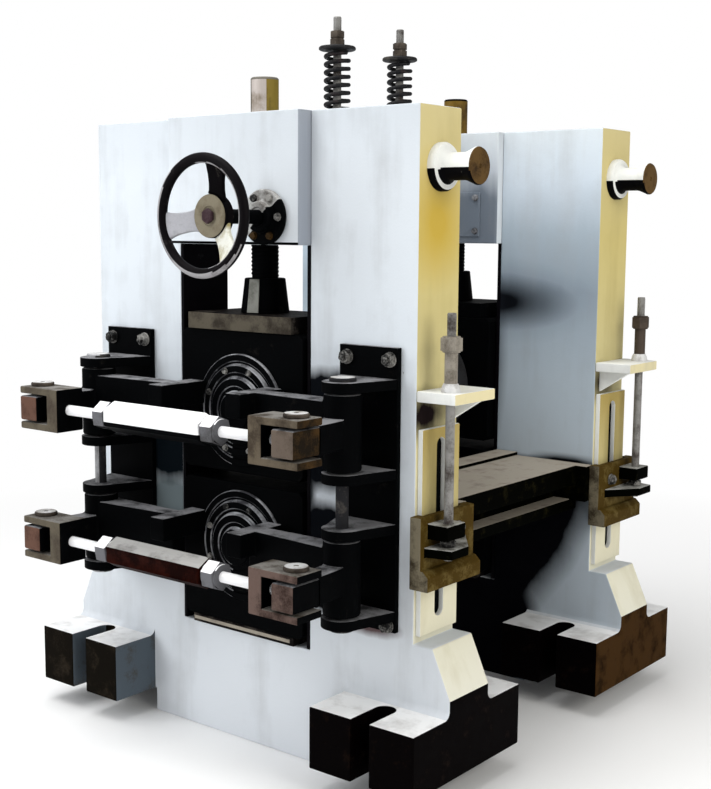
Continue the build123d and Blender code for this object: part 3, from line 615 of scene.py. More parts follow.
class Form:
    """One shape under construction round its own Z axis."""

    def __init__(self) -> None:
        """Starts with nothing."""
        self.mesh = bmesh.new()

    def _outside_out(self) -> "Form":
        """Merges doubles and turns the faces outwards."""
        bmesh.ops.remove_doubles(self.mesh, verts=self.mesh.verts[:], dist=1e-6)
        bmesh.ops.recalc_face_normals(self.mesh, faces=self.mesh.faces[:])
        return self

    @classmethod
    def lathe(cls, profile: Sequence[tuple[float, float]], steps: int = 48) -> "Form":
        """Turns a profile about the Z axis.

        Args:
            profile: radius and height of each corner, from one end to the other.
            steps: how many steps make the full turn.

        Returns:
            The turned shape.
        """
        form = cls()
        corners = [form.mesh.verts.new((radius, 0.0, height)) for radius, height in profile]
        lines = [form.mesh.edges.new(pair) for pair in zip(corners, corners[1:])]
        bmesh.ops.spin(
            form.mesh, geom=corners + lines, cent=(0, 0, 0), axis=(0, 0, 1), dvec=(0, 0, 0),
            angle=math.tau, steps=steps, use_merge=True,
        )
        return form._outside_out()

    @classmethod
    def ring(cls, radius: float, wire: float, steps: int = 72, sides: int = 16) -> "Form":
        """Makes a round ring of round wire."""
        form = cls()
        made = bmesh.ops.create_circle(form.mesh, segments=sides, radius=wire)
        place = Matrix.Translation((radius, 0, 0)) @ Matrix.Rotation(math.pi / 2, 4, "X")
        bmesh.ops.transform(form.mesh, matrix=place, verts=made["verts"])
        bmesh.ops.spin(
            form.mesh, geom=form.mesh.verts[:] + form.mesh.edges[:], cent=(0, 0, 0), axis=(0, 0, 1),
            dvec=(0, 0, 0), angle=math.tau, steps=steps, use_merge=True,
        )
        return form._outside_out()

    @classmethod
    def thread(cls, radius: float, depth: float, pitch: float, length: float, steps: int = 16) -> "Form":
        """Makes a screw thread by spinning one groove upwards.

        Args:
            radius: the crest's radius.
            depth: the groove's depth.
            pitch: the rise of one turn.
            length: the threaded length.
            steps: how many steps make one turn.

        Returns:
            The thread, with a plain core end at each end.
        """
        form = cls()
        turns = max(1, round(length / pitch))
        root = radius - depth
        profile = ((root, 0.0), (radius, pitch * 0.42), (radius, pitch * 0.58), (root, pitch))
        corners = [form.mesh.verts.new((size, 0.0, height)) for size, height in profile]
        lines = [form.mesh.edges.new(pair) for pair in zip(corners, corners[1:])]
        bmesh.ops.spin(
            form.mesh, geom=corners + lines, cent=(0, 0, 0), axis=(0, 0, 1), dvec=(0, 0, pitch / steps),
            angle=math.tau * turns, steps=steps * turns, use_merge=False,
        )
        bmesh.ops.remove_doubles(form.mesh, verts=form.mesh.verts[:], dist=1e-6)
        form.mesh.faces.ensure_lookup_table()
        first = form.mesh.faces[0]
        middle = first.calc_center_median()
        first.normal_update()
        if first.normal.x * middle.x + first.normal.y * middle.y < 0:
            bmesh.ops.reverse_faces(form.mesh, faces=form.mesh.faces[:])
        top = pitch * (turns + 1)
        core = radius - depth * 0.7
        foot, tip = -0.0002, top + depth
        inside = ((0, foot), (core, foot), (core, top), (core - depth, tip), (0, tip))
        return form.joined(cls.lathe(inside, 20))

    @classmethod
    def prism(cls, corners: Sequence[tuple[float, float]], height: float) -> "Form":
        """Raises a flat outline by a height."""
        form = cls()
        floor = form.mesh.faces.new([form.mesh.verts.new((x, y, 0.0)) for x, y in corners])
        raised = bmesh.ops.extrude_face_region(form.mesh, geom=[floor])["geom"]
        verts = [item for item in raised if isinstance(item, bmesh.types.BMVert)]
        bmesh.ops.translate(form.mesh, vec=(0, 0, height), verts=verts)
        return form._outside_out()

    @classmethod
    def bar(cls, sides: int, flats: float, height: float, start: float = 0.0) -> "Form":
        """Makes a bar with a regular outline.

        Args:
            sides: how many sides it has.
            flats: the distance between opposite flats.
            height: its length.
            start: where it begins on its axis.

        Returns:
            The bar.
        """
        form = cls()
        radius = flats / 2 / math.cos(math.pi / sides)
        made = bmesh.ops.create_circle(form.mesh, cap_ends=True, segments=sides, radius=radius)
        bmesh.ops.translate(form.mesh, vec=(0, 0, start), verts=made["verts"])
        raised = bmesh.ops.extrude_face_region(form.mesh, geom=form.mesh.faces[:])["geom"]
        verts = [item for item in raised if isinstance(item, bmesh.types.BMVert)]
        bmesh.ops.translate(form.mesh, vec=(0, 0, height), verts=verts)
        return form._outside_out()

    @classmethod
    def block(cls, wide: float, deep: float, tall: float) -> "Form":
        """Makes a block that stands on its own origin."""
        form = cls()
        made = bmesh.ops.create_cube(form.mesh, size=1.0)
        bmesh.ops.scale(form.mesh, vec=(wide, deep, tall), verts=made["verts"])
        bmesh.ops.translate(form.mesh, vec=(0, 0, tall / 2), verts=made["verts"])
        return form

    @classmethod
    def of_node(cls, node: str) -> "Form":
        """Copies a CAD node's mesh, merges it and joins its flat triangles."""
        form = cls()
        form.mesh.from_mesh(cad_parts[node].data)
        bmesh.ops.remove_doubles(form.mesh, verts=form.mesh.verts[:], dist=2e-6)
        bmesh.ops.dissolve_limit(
            form.mesh, angle_limit=math.radians(0.6), use_dissolve_boundaries=False,
            verts=form.mesh.verts[:], edges=form.mesh.edges[:], delimit=set(),
        )
        return form

    def joined(self, *others: "Form") -> "Form":
        """Adds other shapes where they stand."""
        for other in others:
            kept = bpy.data.meshes.new("kept")
            other.mesh.to_mesh(kept)
            self.mesh.from_mesh(kept)
            bpy.data.meshes.remove(kept)
        return self

    def moved(self, place: Matrix) -> "Form":
        """Moves the shape."""
        bmesh.ops.transform(self.mesh, matrix=place, verts=self.mesh.verts[:])
        if place.determinant() < 0:
            bmesh.ops.reverse_faces(self.mesh, faces=self.mesh.faces[:])
        return self

    def bevelled(self, width: float, segments: int = 2, angle: float = 32.0, inner: bool = True) -> "Form":
        """Rounds the edges that turn by more than an angle.

        Args:
            width: the bevel's width.
            segments: how many strips it has.
            angle: the least turn that is bevelled, in degrees.
            inner: whether the inner corners are rounded too.

        Returns:
            The same shape.
        """
        limit = math.radians(angle)
        turned = [edge for edge in self.mesh.edges if edge.is_manifold and edge.calc_face_angle() > limit]
        edges = [edge for edge in turned if inner or edge.is_convex]
        bmesh.ops.bevel(
            self.mesh, geom=edges, offset=width, offset_type="OFFSET", affect="EDGES",
            segments=segments, profile=0.5, material=-1, clamp_overlap=False,
        )
        return self

    def cut(self, point: Triple, normal: Triple) -> "Form":
        """Divides the faces that a plane crosses, and keeps both sides."""
        everything = self.mesh.verts[:] + self.mesh.edges[:] + self.mesh.faces[:]
        bmesh.ops.bisect_plane(self.mesh, geom=everything, plane_co=point, plane_no=normal)
        return self

    def copy(self) -> "Form":
        """Returns a second shape like this one."""
        return Form().joined(self)


@dataclass(frozen=True)
class HexBolt:
    """One hexagon bolt head on a washer."""

    flats: float = 0.024
    height: float = 0.012
    washer: float = 0.0035
    point: float = 0.0

    def form(self) -> Form:
        """Returns the head, standing on its own origin."""
        radius = self.flats * 0.66
        top = self.washer + self.height
        head = Form.bar(6, self.flats, self.height, self.washer).bevelled(self.flats * 0.05, 2, 20)
        disc = Form.lathe(((0, 0), (radius, 0), (radius, self.washer), (0, self.washer)), 24)
        disc.bevelled(self.washer * 0.2, 1)
        head.joined(disc)
        if self.point:
            shank = self.flats * 0.3
            shoulder, end = top + self.point * 0.8, top + self.point
            tip = ((0, top), (shank, top), (shank, shoulder), (shank * 0.8, end), (0, end))
            head.joined(Form.lathe(tip, 16))
        return head


@dataclass(frozen=True)
class HexNut:
    """One hexagon nut with turned chamfers and a bored face."""

    flats: float
    height: float
    bore: float

    def form(self) -> Form:
        """Returns the nut, standing on its own origin."""
        ring = self.flats * 0.47
        body = Form.bar(6, self.flats, self.height * 0.84, self.height * 0.08)
        body.bevelled(self.flats * 0.035, 2, 20)
        bore, top = self.bore, self.height
        narrow, low, high = ring * 0.97, top * 0.09, top * 0.91
        collar = ((bore, 0), (narrow, 0), (ring, low), (ring, high), (narrow, top), (bore, top), (bore, 0))
        return body.joined(Form.lathe(collar, 32))


@dataclass
class Piece:
    """One object of the dressed stand that rides on a body."""

    name: str
    body: str
    slot: str
    nodes: tuple[str, ...] = ()
    finishes: list[str] = field(default_factory=list)
    mesh: bmesh.types.BMesh = field(default_factory=bmesh.new)

    def _index(self, finish: str) -> int:
        """Returns the slot number of a finish, added when it is new."""
        if finish not in self.finishes:
            self.finishes.append(finish)
        return self.finishes.index(finish)

    def _take(self, form: Form, finish: str, paints: Paints, bevel: float = 0.0, inner: bool = True) -> None:
        """Paints a shape face by face, rounds it and takes it in."""
        main = self._index(finish)
        others = [(self._index(other), chosen) for other, chosen in paints]
        for face in form.mesh.faces:
            face.normal_update()
            face.material_index = main
            middle = face.calc_center_median()
            for index, chosen in others:
                if chosen(middle, face.normal):
                    face.material_index = index
        if bevel:
            form.bevelled(bevel, inner=inner)
        kept = bpy.data.meshes.new("kept")
        form.mesh.to_mesh(kept)
        self.mesh.from_mesh(kept)
        bpy.data.meshes.remove(kept)
        form.mesh.free()

    def add(self, form: Form, finish: str, *places: Matrix, paints: Paints = ()) -> "Piece":
        """Adds a shape at one or more places.

        Args:
            form: the shape.
            finish: its finish.
            places: where it goes, or nowhere else but its own place.
            paints: other finishes, each with a test of a face's middle and normal.

        Returns:
            The same piece.
        """
        for place in places or (Matrix.Identity(4),):
            self._take(form.copy().moved(place), finish, paints)
        return self

    def adopt(self, node: str, finish: str, bevel: float, paints: Paints = (), inner: bool = True) -> "Piece":
        """Adds a rounded copy of a CAD node, with other finishes on chosen faces.

        Args:
            node: the CAD node, which this piece then stands for.
            finish: its main finish.
            bevel: how far its edges are rounded.
            paints: other finishes, each with a test of a face's middle and normal.
            inner: whether the inner corners are rounded too.

        Returns:
            The same piece.
        """
        self._take(Form.of_node(node), finish, paints, bevel, inner)
        if node not in self.nodes:
            self.nodes = (*self.nodes, node)
        return self

    def done(self, other: str = "", low: float = 0.0, high: float = 0.0) -> bpy.types.Object:
        """Makes the object, shades it and hangs it on its body, or only bakes its place when a second body is
        given.

        Args:
            other: a second body; when given, the piece is hung on no body.
            low: not used.
            high: not used.

        Returns:
            The object.
        """
        for face in self.mesh.faces:
            face.smooth = True
        for edge in self.mesh.edges:
            edge.smooth = not edge.is_manifold or edge.calc_face_angle() < math.radians(42)
        data = bpy.data.meshes.new(self.name)
        self.mesh.to_mesh(data)
        self.mesh.free()
        for finish in self.finishes:
            data.materials.append(finish_of(finish))
        piece = bpy.data.objects.new(self.name, data)
        bpy.context.scene.collection.objects.link(piece)
        even = piece.modifiers.new("even_shading", "WEIGHTED_NORMAL")
        even.keep_sharp = True
        if other:
            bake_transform(piece)
        else:
            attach(piece, self.body)
        if self.nodes:
            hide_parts(*self.nodes)
        log.info("%s: %d faces", self.name, len(data.polygons))
        return piece


def dress(
    node: str, body: str, slot: str, finish: str, bevel: float, paints: Paints = ()
) -> bpy.types.Object:
    """Makes a rounded, finished piece of one CAD node.

    Args:
        node: the CAD node.
        body: the body that it rides on.
        slot: the record's slot of its material.
        finish: its main finish.
        bevel: how far its edges are rounded.
        paints: other finishes, each with a test of a face's middle and normal.

    Returns:
        The piece.
    """
    return Piece(f"{node}_dressed", body, slot).adopt(node, finish, bevel, paints).done()


# Sub-assemblies


def looks(x: float = 0.0, y: float = 0.0, z: float = 0.0) -> Test:
    """Returns the test for faces that look within 40 degrees of a direction."""
    way = Vector((x, y, z)).normalized()
    return lambda middle, normal: normal.dot(way) > 0.77


@dataclass
class Housings:
    """The two cast housings and their caps."""

    bevel: float = 0.004
    post_face: float = 0.53
    foot_level: float = 0.26
    foot_top: float = 0.214
    foot_start: float = 0.336
    cap_out: float = 0.124
    shadow_strip: Triple = (0.434, 0.0012, 0.006)
    shadow_strip_level: float = 1.2856

    def _is_foot(self, middle: Vector, normal: Vector) -> bool:
        """Tells whether a face is a side, an end or the underside of a foot."""
        low = middle.z < self.foot_level and abs(middle.x) > self.foot_start
        return low and normal.z < 0.05

    def _is_foot_end(self, middle: Vector, normal: Vector) -> bool:
        """Tells whether a face is the front of a left foot."""
        return self._is_foot(middle, normal) and normal.y < -0.7 and middle.x < 0

    def _is_foot_side(self, middle: Vector, normal: Vector) -> bool:
        """Tells whether a face is a left foot's side towards the pass line's centre."""
        return self._is_foot(middle, normal) and normal.x > 0.7 and middle.x < 0

    def _is_foot_top(self, middle: Vector, normal: Vector) -> bool:
        """Tells whether a face is a foot's top."""
        return abs(middle.z - self.foot_top) < 0.002 and normal.z > 0.7 and abs(middle.x) > self.foot_start

    def _is_foot_rust(self, middle: Vector, normal: Vector) -> bool:
        """Tells whether a face is the far right foot's outer end."""
        return self._is_foot(middle, normal) and normal.x > 0.7 and middle.x > 0.6 and middle.y > 0

    def _is_post_side(self, middle: Vector, normal: Vector) -> bool:
        """Tells whether a face is a post's or a buttress's outer side on the right."""
        return normal.x > 0.7 and middle.x > self.post_face

    def build(self) -> None:
        """Builds both housings and both caps."""
        paints = (
            ("olive", self._is_post_side),
            ("foot_top", self._is_foot_top),
            ("foot_black", self._is_foot),
            ("foot_brown", self._is_foot_end),
            ("foot_grey", self._is_foot_side),
            ("foot_rust", self._is_foot_rust),
        )
        for name in ("near", "far"):
            front = (f"{name}_front", looks(y=-1))
            dress(f"{name}_housing", "stand", "housing_paint", "enamel", self.bevel, (front, *paints))
        # The near cap's right side and the far cap's front get painted shade.
        caps = (
            ("cap_side_shaded", lambda middle, normal: normal.x > 0.6 and middle.y < 0),
            ("far_cap_shaded", lambda middle, normal: normal.y < -0.6 and middle.y > 0),
        )
        piece = Piece("caps_dressed", "stand", "housing_paint").adopt("caps", "enamel", 0.003, caps)
        # A thin black strip along the near cap's lower front edge, painted shade under the cap.
        edge = Form.block(*self.shadow_strip).bevelled(0.0004, 1)
        piece.add(edge, "black", spot(0, outward(Side.NEAR, self.cap_out), self.shadow_strip_level)).done()
        dress("cap_tie", "stand", "housing_paint", "enamel", 0.003)


@dataclass
class ScrewDown:
    """Main screws, their cups, and the worm shafts' wheels and flanges."""

    wheel_x: float = 0.117
    wheel_z: float = 1.35115
    wheel_out: float = 0.340
    dish: float = 0.039
    spoke_rise: float = 0.036
    rim_radius: float = 0.130
    rim_wire: float = 0.012
    cap_out: float = 0.124
    cap_in: float = 0.110
    cover_z: float = 1.36815
    screw_radius: float = 0.035
    screw_low: float = 1.200
    cup_low: float = 1.112
    cup_radius: float = 0.0612
    cup_lean: float = 6.8
    screw_tops: Pair = (1.695, 1.709)
    screw_start: float = 1.6005
    screw_edge: float = 0.006
    thread_length: float = 0.380
    bolt_circle: float = 0.051
    bolt_out: float = 0.1395
    cover_bolt: Pair = (0.034, 0.0475)
    cover_bolt_in: float = 0.115

    def _spoke(self) -> Form:
        """Builds one flat spoke that flares into the hub and the rim and leans outwards."""
        stations = (
            (0.044, 0.030), (0.054, 0.0250), (0.070, 0.0235), (0.092, 0.0250),
            (0.108, 0.0285), (0.119, 0.033), (0.127, 0.038),
        )
        outline = [(r, -w) for r, w in stations] + [(r, w) for r, w in reversed(stations)]
        start = stations[0][0]
        lean = Matrix.Identity(4)
        lean[2][0] = self.spoke_rise / (self.rim_radius - start)
        lean[2][3] = -self.spoke_rise - 0.006 - lean[2][0] * start
        return Form.prism(outline, 0.012).bevelled(0.004, 3).moved(lean)

    def _wheel(self, piece: Piece, place: Matrix) -> None:
        """Adds one handwheel with its shaft.

        Args:
            piece: the piece that takes it.
            place: where its rim's centre and outward axis lie.
        """
        hub = ((0, -0.056), (0.044, -0.056), (0.050, -0.051), (0.050, -0.027), (0.0492, -0.0238))
        face = ((0.0492, -0.0238), (0.0470, -0.022), (0.023, -0.022), (0.0215, -0.0235), (0, -0.0235))

        def is_lit(middle: Vector, normal: Vector) -> bool:
            """Tells whether a rim face gets a painted highlight: outer ones at the lower left, inner ones at
            the right.
            """
            away = Vector((middle.x - self.wheel_x, 0.0, middle.z - self.wheel_z)).normalized()
            out = normal.dot(away)
            lower_left = min(max(0.42 - 0.75 * away.x - 0.62 * away.z, 0.0), 1.0)
            right = min(max(0.95 * away.x + 0.15 * away.z, 0.0), 1.0)
            outer = 0.93 - lower_left < out < 0.95
            inner = -0.93 < out < 0.72 * right - 0.93
            return (outer or inner) and normal.y < 0.3

        stud = ((0, -0.0225), (0.0095, -0.0225), (0.0095, -0.013), (0.008, -0.012), (0, -0.012))
        back = self.dish - 0.0395 - self.wheel_out
        shaft = ((0, -0.045), (0.017, -0.045), (0.017, back), (0, back))
        rim = Form.ring(self.rim_radius, self.rim_wire, 96, 20)
        piece.add(rim, "wheel", place, paints=(("wheel_highlight", is_lit),))
        # The spokes are lit and shaded copies: the upper one black, the left one painted light grey and the
        # lower right one painted pale.
        for angle, finish in ((71, "spoke_black"), (191, "spoke_lit_grey"), (311, "spoke_lit_pale")):
            piece.add(self._spoke(), finish, place @ Matrix.Rotation(math.radians(angle), 4, "Z"))
        piece.add(Form.lathe(hub, 64), "spoke_black", place).add(Form.lathe(face, 64), "hub", place)
        nut = HexNut(0.031, 0.0095, 0.0098).form().moved(Matrix.Translation((0, 0, -0.0222)))
        piece.add(nut.joined(Form.lathe(stud, 24)), "nut_dark", place)
        piece.add(Form.lathe(shaft, 32), "black", place)

    def _flanges(self) -> None:
        """Builds the turned bearing flanges and the closed covers on the caps' inner sides."""
        profile = (
            (0.0171, 0), (0.063, 0), (0.066, 0.003), (0.066, 0.013), (0.063, 0.016), (0.041, 0.016),
            (0.0375, 0.0195), (0.037, 0.030), (0.034, 0.034), (0.024, 0.034), (0.022, 0.031),
            (0.0171, 0.031), (0.0171, 0),
        )

        def is_upper(middle: Vector, normal: Vector) -> bool:
            """Tells whether a face lies on the flange's upper left, which is painted light."""
            return middle.z - self.wheel_z > 0.9 * (middle.x - self.wheel_x) - 0.004

        flange = Form.lathe(profile, 64)
        flanges = Piece("wheel_flanges_dressed", "stand", "black_iron", ("wheel_flanges",))
        bolt = HexBolt(0.015, 0.0065, 0.0015).form()
        cover = Form.block(0.096, 0.128, 0.0055).bevelled(0.003, 2)
        for side in BOTH_SIDES:
            place = spot(self.wheel_x, outward(side, self.cap_out), self.wheel_z, facing(side))
            flanges.add(flange, "black", place, paints=(("flange_highlit", is_upper),))
            for step in range(6):
                angle = math.radians(60 * step)
                x = self.wheel_x + self.bolt_circle * math.cos(angle)
                z = self.wheel_z + self.bolt_circle * math.sin(angle)
                finish = "fork_side_shaded" if z < self.wheel_z - 0.02 else "bolt"
                flanges.add(bolt, finish, spot(x, outward(side, self.bolt_out), z, facing(side), 20 * step))
            inner = Axis.BACK if side is Side.NEAR else Axis.FRONT
            plate = "enamel" if side is Side.NEAR else "far_cap_shaded"
            flanges.add(cover, plate, spot(self.wheel_x, outward(side, -self.cap_in), self.cover_z, inner))
            y = outward(side, -self.cover_bolt_in)
            for way in (-1, 1):
                for up in (-1, 1):
                    x = self.wheel_x + way * self.cover_bolt[0]
                    z = self.cover_z + up * self.cover_bolt[1]
                    flanges.add(bolt, "edge", spot(x, y, z, inner, 17))
        flanges.done()

    def _screws(self) -> None:
        """Builds the main screws: oily thread below the caps, worn smooth above."""
        radius = self.screw_radius
        screws = Piece("screws_dressed", "top_roll_set", "rod_steel", ("screws",))
        # The smooth part above the cap is painted olive on its right-facing side and dark on its left front:
        # painted light and shade.
        wear_and_sheen = (("screw_lit_olive", looks(x=1)), ("screw_dark", looks(x=-0.9, y=-0.4)))
        near, far = self.screw_tops
        heads = ((Side.NEAR, near, "screw", "screw_dark", wear_and_sheen), (Side.FAR, far, "screw_far", "black", ()))
        for side, top, finish, rim, paints in heads:
            y = outward(side, 0)
            low = Form.thread(radius, 0.0022, 0.010, self.thread_length, 48)
            screws.add(low, "black", spot(0, y, self.screw_low))
            edge = top - self.screw_edge
            head = ((0, self.screw_start), (radius, self.screw_start), (radius, edge))
            crown = (
                (radius, edge), (radius, top - self.screw_edge / 2), (radius - self.screw_edge / 2, top),
                (0.008, top), (0.006, edge), (0, edge),
            )
            screws.add(Form.lathe(head, 96), finish, spot(0, y, 0), paints=paints)
            screws.add(Form.lathe(crown, 96), rim, spot(0, y, 0))
        screws.done()

    def _cups(self) -> None:
        """Builds the cups with the rubbed flat on each one's front."""
        cups = Piece("screw_cups_dressed", "top_roll_set", "black_iron").adopt("screw_cups", "black", 0.003)
        outline = ((-0.0165, 0.002), (0.0165, 0.002), (0.0140, 0.0865), (-0.0140, 0.0865))
        flat = Form.prism(outline, 0.003).bevelled(0.0008, 1)
        lean = Matrix.Rotation(math.radians(-self.cup_lean), 4, "X")
        front = Matrix.Translation((0, -self.cup_radius, 0)) @ lean @ Matrix.Rotation(math.pi / 2, 4, "X")
        for side, turn in ((Side.NEAR, 12), (Side.FAR, 168)):
            cups.add(flat, "cup_flat", spot(0, outward(side, 0), self.cup_low, turn=turn) @ front)
        cups.done()

    def build(self) -> None:
        """Builds the wheels, flanges, inner covers, screws and cups."""
        wheels = (
            (Side.NEAR, "near_handwheel", "near_handwheel", 0),
            (Side.FAR, "far_handwheel", "stand", 180),
        )
        for side, node, body, turn in wheels:
            place = spot(self.wheel_x, outward(side, self.wheel_out), self.wheel_z, facing(side), turn)
            piece = Piece(f"{node}_dressed", body, "wheel_iron", (node,))
            self._wheel(piece, place)
            piece.done()
        self._flanges()
        self._screws()
        self._cups()


@dataclass
class RollSet:
    """Chocks, their plates, seats and liners, neck covers, rolls and the balance beam."""

    top_axis: float = 0.870
    low_axis: float = 0.522
    face: float = 0.092
    screw_circle: float = 0.106
    screw_out: float = 0.1058
    strip: Triple = (0.335, 0.0016, 0.009)
    strip_place: Pair = (-0.004, 0.2975)
    strip_out: float = 0.0926

    def _cover(self, bore: float) -> Form:
        """Builds one stepped neck cover.

        Args:
            bore: the radius of its hole, or 0.

        Returns:
            The turned cover, standing on its own origin.
        """
        profile = [
            (0.143, 0), (0.143, 0.0045), (0.1405, 0.007), (0.126, 0.007), (0.1235, 0.0045),
            (0.119, 0.0045), (0.1165, 0.007), (0.116, 0.012), (0.1135, 0.014), (0.098, 0.014),
            (0.0955, 0.0115), (0.088, 0.0115), (0.0845, 0.014), (0.084, 0.019), (0.0815, 0.021),
            (0.064, 0.021), (0.0615, 0.0185), (0.052, 0.0185), (0.0485, 0.021), (0.048, 0.026),
            (0.0455, 0.028), (0.018, 0.028), (0.015, 0.0255), (0, 0.0255),
        ]
        if bore:
            profile = [point for point in profile if point[0] > bore + 0.001]
            profile += [(bore, profile[-1][1]), (bore, 0)]
        return Form.lathe([(bore, 0), *profile], 96)

    def _covers(self, name: str, body: str, axis: float) -> None:
        """Builds the covers of one roll."""
        piece = Piece(f"{name}_dressed", body, "black_iron", (name,))
        screw = HexBolt(0.013, 0.0045, 0.001).form()

        def is_lit_edge(middle: Vector, normal: Vector) -> bool:
            """Tells whether a face is a step's edge towards the upper left or right, which gets a painted
            highlight.
            """
            away = Vector((middle.x, 0.0, middle.z - axis)).normalized()
            return abs(normal.dot(away)) > 0.35 and (away.x < -0.2 or away.z > 0.3)

        for side, bore in ((Side.NEAR, 0.0), (Side.FAR, 0.080)):
            place = spot(0, outward(side, self.face), axis, facing(side))
            piece.add(self._cover(bore), "black", place, paints=(("edge", is_lit_edge),))
            for step in range(8):
                angle = math.radians(45 * step + 22.5)
                x, z = self.screw_circle * math.cos(angle), axis + self.screw_circle * math.sin(angle)
                piece.add(screw, "bolt", spot(x, outward(side, self.screw_out), z, facing(side), 13 * step))
        piece.done()

    def build(self) -> None:
        """Builds the whole set."""
        dress("bottom_chocks", "stand", "black_iron", "black", 0.003)
        dress("top_chocks", "top_roll_set", "black_iron", "black", 0.003)
        plates = (("plate_front", looks(y=-1)), ("black", lambda middle, normal: middle.y > 0))
        dress("pressure_plates", "top_roll_set", "oily_steel", "plate", 0.002, plates)
        seats = Piece("chock_seats_dressed", "stand", "oily_steel").adopt("chock_seats", "plate", 0.002)
        strip = Form.block(*self.strip).bevelled(0.0006, 1)
        x, z = self.strip_place
        seats.add(strip, "planed", spot(x, outward(Side.NEAR, self.strip_out), z)).done()
        dress("window_liners", "stand", "liner_steel", "liner", 0.001)
        self._covers("top_covers", "top_roll_set", self.top_axis)
        self._covers("bottom_covers", "stand", self.low_axis)
        dress("top_roll", "top_roll", "roll_steel", "roll", 0.002)
        dress("bottom_roll", "bottom_roll", "roll_steel", "roll", 0.002)
        dress("balance_beam", "top_roll_set", "black_iron", "black", 0.002)


@dataclass
class Hangers:
    """The two sprung rods that carry the top roll set."""

    y: float = 0.1394
    rod_low: float = 1.093
    rod_top: float = 1.879
    plate_low: float = 1.790
    seat_low: float = 1.600
    radius: float = 0.011
    plate_tall: float = 0.014
    seat_tall: float = 0.012
    nut_step: float = 0.019

    def build(self) -> None:
        """Builds rods, nuts, plates, seats and springs."""
        rods = Piece("hanger_rods_dressed", "top_roll_set", "rod_steel", ("hanger_rods",))
        nuts = Piece("hanger_nuts_dressed", "top_roll_set", "oily_steel", ("hanger_nuts",))
        plates = Piece("hanger_plates_dressed", "top_roll_set", "oily_steel", ("hanger_plates",))
        seats = Piece("spring_seats_dressed", "stand", "oily_steel", ("spring_seats",))
        plain = self.plate_low - self.rod_low
        smooth = ((0, 0), (self.radius, 0), (self.radius, plain), (0, plain))
        thread = Form.thread(self.radius, 0.0012, 0.0025, self.rod_top - self.plate_low - 0.0045, 20)
        plate = (
            (0.0111, 0), (0.030, 0), (0.032, 0.002), (0.046, 0.002), (0.049, 0.004), (0.049, 0.009),
            (0.046, 0.012), (0.034, 0.012), (0.030, 0.0135), (0.0111, self.plate_tall), (0.0111, 0),
        )
        tall = self.seat_tall
        seat = (
            (0.016, 0), (0.047, 0), (0.049, 0.002), (0.049, tall - 0.002),
            (0.047, tall), (0.016, tall), (0.016, 0),
        )
        nut = HexNut(0.036, 0.0188, 0.0111).form()
        low = self.plate_low + self.plate_tall
        for way in (-1, 1):
            y = way * self.y
            rods.add(Form.lathe(smooth, 32), "rod", spot(0, y, self.rod_low))
            rods.add(thread, "rod", spot(0, y, self.plate_low))
            plates.add(Form.lathe(plate, 64), "washer", spot(0, y, self.plate_low))
            seats.add(Form.lathe(seat, 64), "washer", spot(0, y, self.seat_low))
            nuts.add(nut, "oily", spot(0, y, low, turn=12 + 40 * way))
            nuts.add(nut, "oily", spot(0, y, low + self.nut_step, turn=31 - 9 * way))
        for piece in (rods, nuts, plates, seats):
            piece.done()
        springs = Piece("hanger_springs_dressed", "stand", "spring_steel")
        springs.adopt("hanger_springs", "spring", 0)
        springs.done("top_roll_set", self.seat_low + self.seat_tall, self.plate_low)


